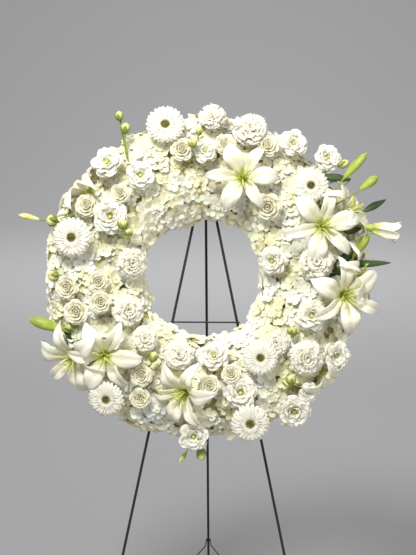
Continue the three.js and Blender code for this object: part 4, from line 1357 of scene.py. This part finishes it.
class WREATH_OT_finishes(bpy.types.Operator):
    """Makes the finishes of the petals, leaves, foam, tray and paint"""

    bl_idname = "wreath.finishes"
    bl_label = "Finishes"

    def execute(self, context):
        tint = context.scene.wreath_colours

        def chosen(colour):
            return tuple(getattr(tint, colour)) if isinstance(colour, str) else colour

        for key, (name, along, patch, form) in PETALS.items():
            along = [(place, chosen(colour)) for place, colour in along]
            FINISHES[key] = petal_finish(name, along, patch, **form)
        for key, (name, dark, light, scale, rough, bump, values) in PLAIN.items():
            FINISHES[key] = plain_finish(name, chosen(dark), chosen(light), scale, rough, bump, **values)
        green, wire = chosen("leaf"), chosen("wire")
        FINISHES["leaf"] = leaf_finish("dark_leaf", shaded(green, 0.6), green, 0.35)
        worn = {"distance": 0.0002, "Specular_IOR_Level": 0.35}
        light = shaded(wire, 1.6)
        FINISHES["steel"] = plain_finish("black_paint", wire, light, 200.0, 0.46, 0.08, **worn)
        return {"FINISHED"}


class WREATH_OT_easel(bpy.types.Operator):
    """Makes the legs, hinge, crossbar, brace and hanger of the easel, and the tray and foam on it"""

    bl_idname = "wreath.easel"
    bl_label = "Easel"

    def execute(self, context):
        steel = finish_named("steel")
        turned_piece("leg_left", ["front_leg_left"], front_leg(-1), steel)
        turned_piece("leg_right", ["front_leg_right"], front_leg(1), steel)
        turned_piece("leg_rear", ["rear_leg"], rear_leg, steel, body="rear_leg")
        turned_piece("pin", ["hinge_pin"], hinge_pin, steel)
        turned_piece("bar", ["crossbar"], crossbar, steel)
        turned_piece("arm_left", ["brace_left"], brace_arm(-1), steel, body="brace")
        turned_piece("arm_right", ["brace_right"], brace_arm(1), steel, body="brace")
        turned_piece("hook", ["hanger"], hanger, steel)
        turned_piece("ring_tray", ["tray"], TRAY, finish_named("tray"))
        turned_piece("ring_foam", ["foam_ring"], FOAM, finish_named("foam"))
        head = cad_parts["easel_head"]
        for i in range(len(head.data.materials)):
            head.data.materials[i] = steel
        return {"FINISHED"}


def dress_stems(kind):
    """Makes every stem of one kind."""
    slots = stem_slots(kind)
    made = [dress_spray(name, root, parts, slots) for name, of, root, parts in SPRAYS if of == kind]
    if not made:
        raise RuntimeError(f"there is no stem of kind {kind}")
    return {"FINISHED"}


class WREATH_OT_lily(bpy.types.Operator):
    """Makes the lilies that stand on stems of their own"""

    bl_idname = "wreath.lily"
    bl_label = "Lilies"

    def execute(self, context):
        return dress_stems("lily")


class WREATH_OT_leaf(bpy.types.Operator):
    """Makes the lily stems with their buds and leaves"""

    bl_idname = "wreath.leaf"
    bl_label = "Lily stems"

    def execute(self, context):
        return dress_stems("leaf")


class WREATH_OT_gerbera(bpy.types.Operator):
    """Makes the gerberas"""

    bl_idname = "wreath.gerbera"
    bl_label = "Gerberas"

    def execute(self, context):
        return dress_stems("gerbera")


class WREATH_OT_carnation(bpy.types.Operator):
    """Makes the carnations"""

    bl_idname = "wreath.carnation"
    bl_label = "Carnations"

    def execute(self, context):
        return dress_stems("carnation")


class WREATH_OT_lisianthus(bpy.types.Operator):
    """Makes the lisianthus and their buds"""

    bl_idname = "wreath.lisianthus"
    bl_label = "Lisianthus"

    def execute(self, context):
        return dress_stems("lisianthus")


class WREATH_OT_rose(bpy.types.Operator):
    """Makes the small roses and their buds"""

    bl_idname = "wreath.rose"
    bl_label = "Roses"

    def execute(self, context):
        return dress_stems("rose")


class WREATH_OT_heads(bpy.types.Operator):
    """Makes the heads of florets that cover the ring between the blooms"""

    bl_idname = "wreath.heads"
    bl_label = "Floret heads"

    def execute(self, context):
        sizes = context.scene.wreath_sizes
        slots = [finish_named(name) for name in ("hydrangea", "floret_middle", "core", "leaf")]
        rooms = rooms_of_blooms()
        for i in range(sizes.heads):
            dress_head(i, sizes.heads, sizes.pitch, sizes.floret, slots, rooms)
        return {"FINISHED"}


# painted light and shade on the floor paper, as shares of its colour from front to back
PAINTED_PAPER_LIGHT = [(0.0, 0.72), (0.25, 0.84), (0.55, 1.12), (1.0, 0.98)]  # of the paper, from front to back
RING_CENTRE = lean(0, 0, RING_ALONG)
LAMPS = [  # name, place, size in metres, power in watts, what it is aimed at
    ("key", (-0.8, -2.3, 3.7), 0.8, 122, RING_CENTRE),
    ("fill", (2.6, -2.6, 1.8), 2.0, 24, RING_CENTRE),
    ("back", (0.6, 2.4, 3.2), 1.6, 24, RING_CENTRE),
    ("wall", (0, 4.6, 3.6), 1.8, 74, Vector((0, 7, 0.3))),
]
SKY = 0.46
SENSOR, LENS_PER_METRE = 36, 36.06
PICTURE_WIDTH = 416
CAMERA_YAW = math.radians(1.3)


def floor_paper(paper):
    """Pale paper with painted light and shade: darker in front and lightest in the middle."""
    made = Nodes("floor_paper")
    _, depth = made.split(made.add("ShaderNodeTexCoord").outputs["Object"])
    share = made.number("MULTIPLY", depth, 0.1)
    colour = made.ramp(share, [(place, shaded(paper, shade)) for place, shade in PAINTED_PAPER_LIGHT])
    made.link(colour, made.shader.inputs["Base Color"])
    made.set(Roughness=0.95)
    return made.material


def lay_floor(paper):
    """A floor that curves up into the backdrop."""
    bm = new_bmesh()
    section = [(-12, 0), (7, 0)]
    for i in range(1, 12):
        angle = i / 12 * math.pi / 2
        section.append((7 + 3 * math.sin(angle), 3 - 3 * math.cos(angle)))
    section += [(10, 3), (10, 12)]
    verts = [bm.verts.new((-16, y, z)) for y, z in section]
    edges = [bm.edges.new(pair) for pair in zip(verts, verts[1:])]
    moved, _ = extruded(bm, edges)
    bmesh.ops.translate(bm, vec=(32, 0, 0), verts=moved)
    bmesh.ops.recalc_face_normals(bm, faces=bm.faces)
    if bm.faces[:][0].normal.z < 0:
        bmesh.ops.reverse_faces(bm, faces=bm.faces)
    paint(bm.faces, 0)
    object_from(bm, "floor", [floor_paper(paper)])


def hang_lamps(scene):
    for name, place, size, power, aim in LAMPS:
        lamp = bpy.data.lights.new(name, "AREA")
        lamp.size = size
        lamp.energy = power
        item = bpy.data.objects.new(name, lamp)
        item.location = place
        item.rotation_euler = (aim - Vector(place)).to_track_quat("-Z", "Y").to_euler()
        scene.collection.objects.link(item)
    world = bpy.data.worlds.new("studio")
    world.use_nodes = True
    sky = world.node_tree.nodes["Background"]
    sky.inputs["Color"].default_value = (1.0, 1.0, 1.0, 1)
    sky.inputs["Strength"].default_value = SKY
    scene.world = world
    scene.view_settings.view_transform = "Standard"


def place_camera(scene, distance):
    """A camera that looks square at the leaning wreath."""
    camera = bpy.data.objects.new("camera", bpy.data.cameras.new("camera"))
    ahead = math.cos(CAMERA_YAW)
    away = Vector((math.sin(CAMERA_YAW), -ahead * math.cos(LEAN), ahead * math.sin(LEAN)))
    camera.location = RING_CENTRE + away * distance
    camera.rotation_euler = (-away).to_track_quat("-Z", "Y").to_euler()
    camera.data.sensor_fit = "HORIZONTAL"
    camera.data.sensor_width = SENSOR
    camera.data.lens = LENS_PER_METRE * distance
    camera.data.shift_x = 3 / PICTURE_WIDTH
    camera.data.shift_y = 0.5 / PICTURE_WIDTH
    scene.collection.objects.link(camera)
    scene.camera = camera


class WREATH_OT_stage(bpy.types.Operator):
    """Makes the floor, the backdrop, the lights and the camera"""

    bl_idname = "wreath.stage"
    bl_label = "Stage"

    def execute(self, context):
        scene = context.scene
        lay_floor(tuple(scene.wreath_colours.backdrop))
        hang_lamps(scene)
        place_camera(scene, scene.wreath_sizes.distance)
        return {"FINISHED"}


OPERATORS = (
    WREATH_OT_finishes,
    WREATH_OT_easel,
    WREATH_OT_lily,
    WREATH_OT_leaf,
    WREATH_OT_gerbera,
    WREATH_OT_carnation,
    WREATH_OT_lisianthus,
    WREATH_OT_rose,
    WREATH_OT_heads,
    WREATH_OT_stage,
)


class WREATH_PT_panel(bpy.types.Panel):
    """Lists the sizes, the colours and the pieces"""

    bl_label = "Wreath"
    bl_idname = "WREATH_PT_panel"
    bl_space_type = "VIEW_3D"
    bl_region_type = "UI"
    bl_category = "Wreath"

    def draw(self, context):
        for group in (context.scene.wreath_colours, context.scene.wreath_sizes):
            for name in group.__annotations__:
                self.layout.prop(group, name)
        for operator in OPERATORS:
            self.layout.operator(operator.bl_idname)


CLASSES = (WreathColours, WreathSizes, *OPERATORS, WREATH_PT_panel)


def register():
    for each in CLASSES:
        bpy.utils.register_class(each)
    bpy.types.Scene.wreath_colours = PointerProperty(type=WreathColours)
    bpy.types.Scene.wreath_sizes = PointerProperty(type=WreathSizes)


def unregister():
    del bpy.types.Scene.wreath_sizes
    del bpy.types.Scene.wreath_colours
    for each in reversed(CLASSES):
        bpy.utils.unregister_class(each)


def main():
    register()
    for operator in OPERATORS:
        name = operator.bl_idname.split(".")[1]
        getattr(bpy.ops.wreath, name)()


if __name__ == "__main__":
    main()
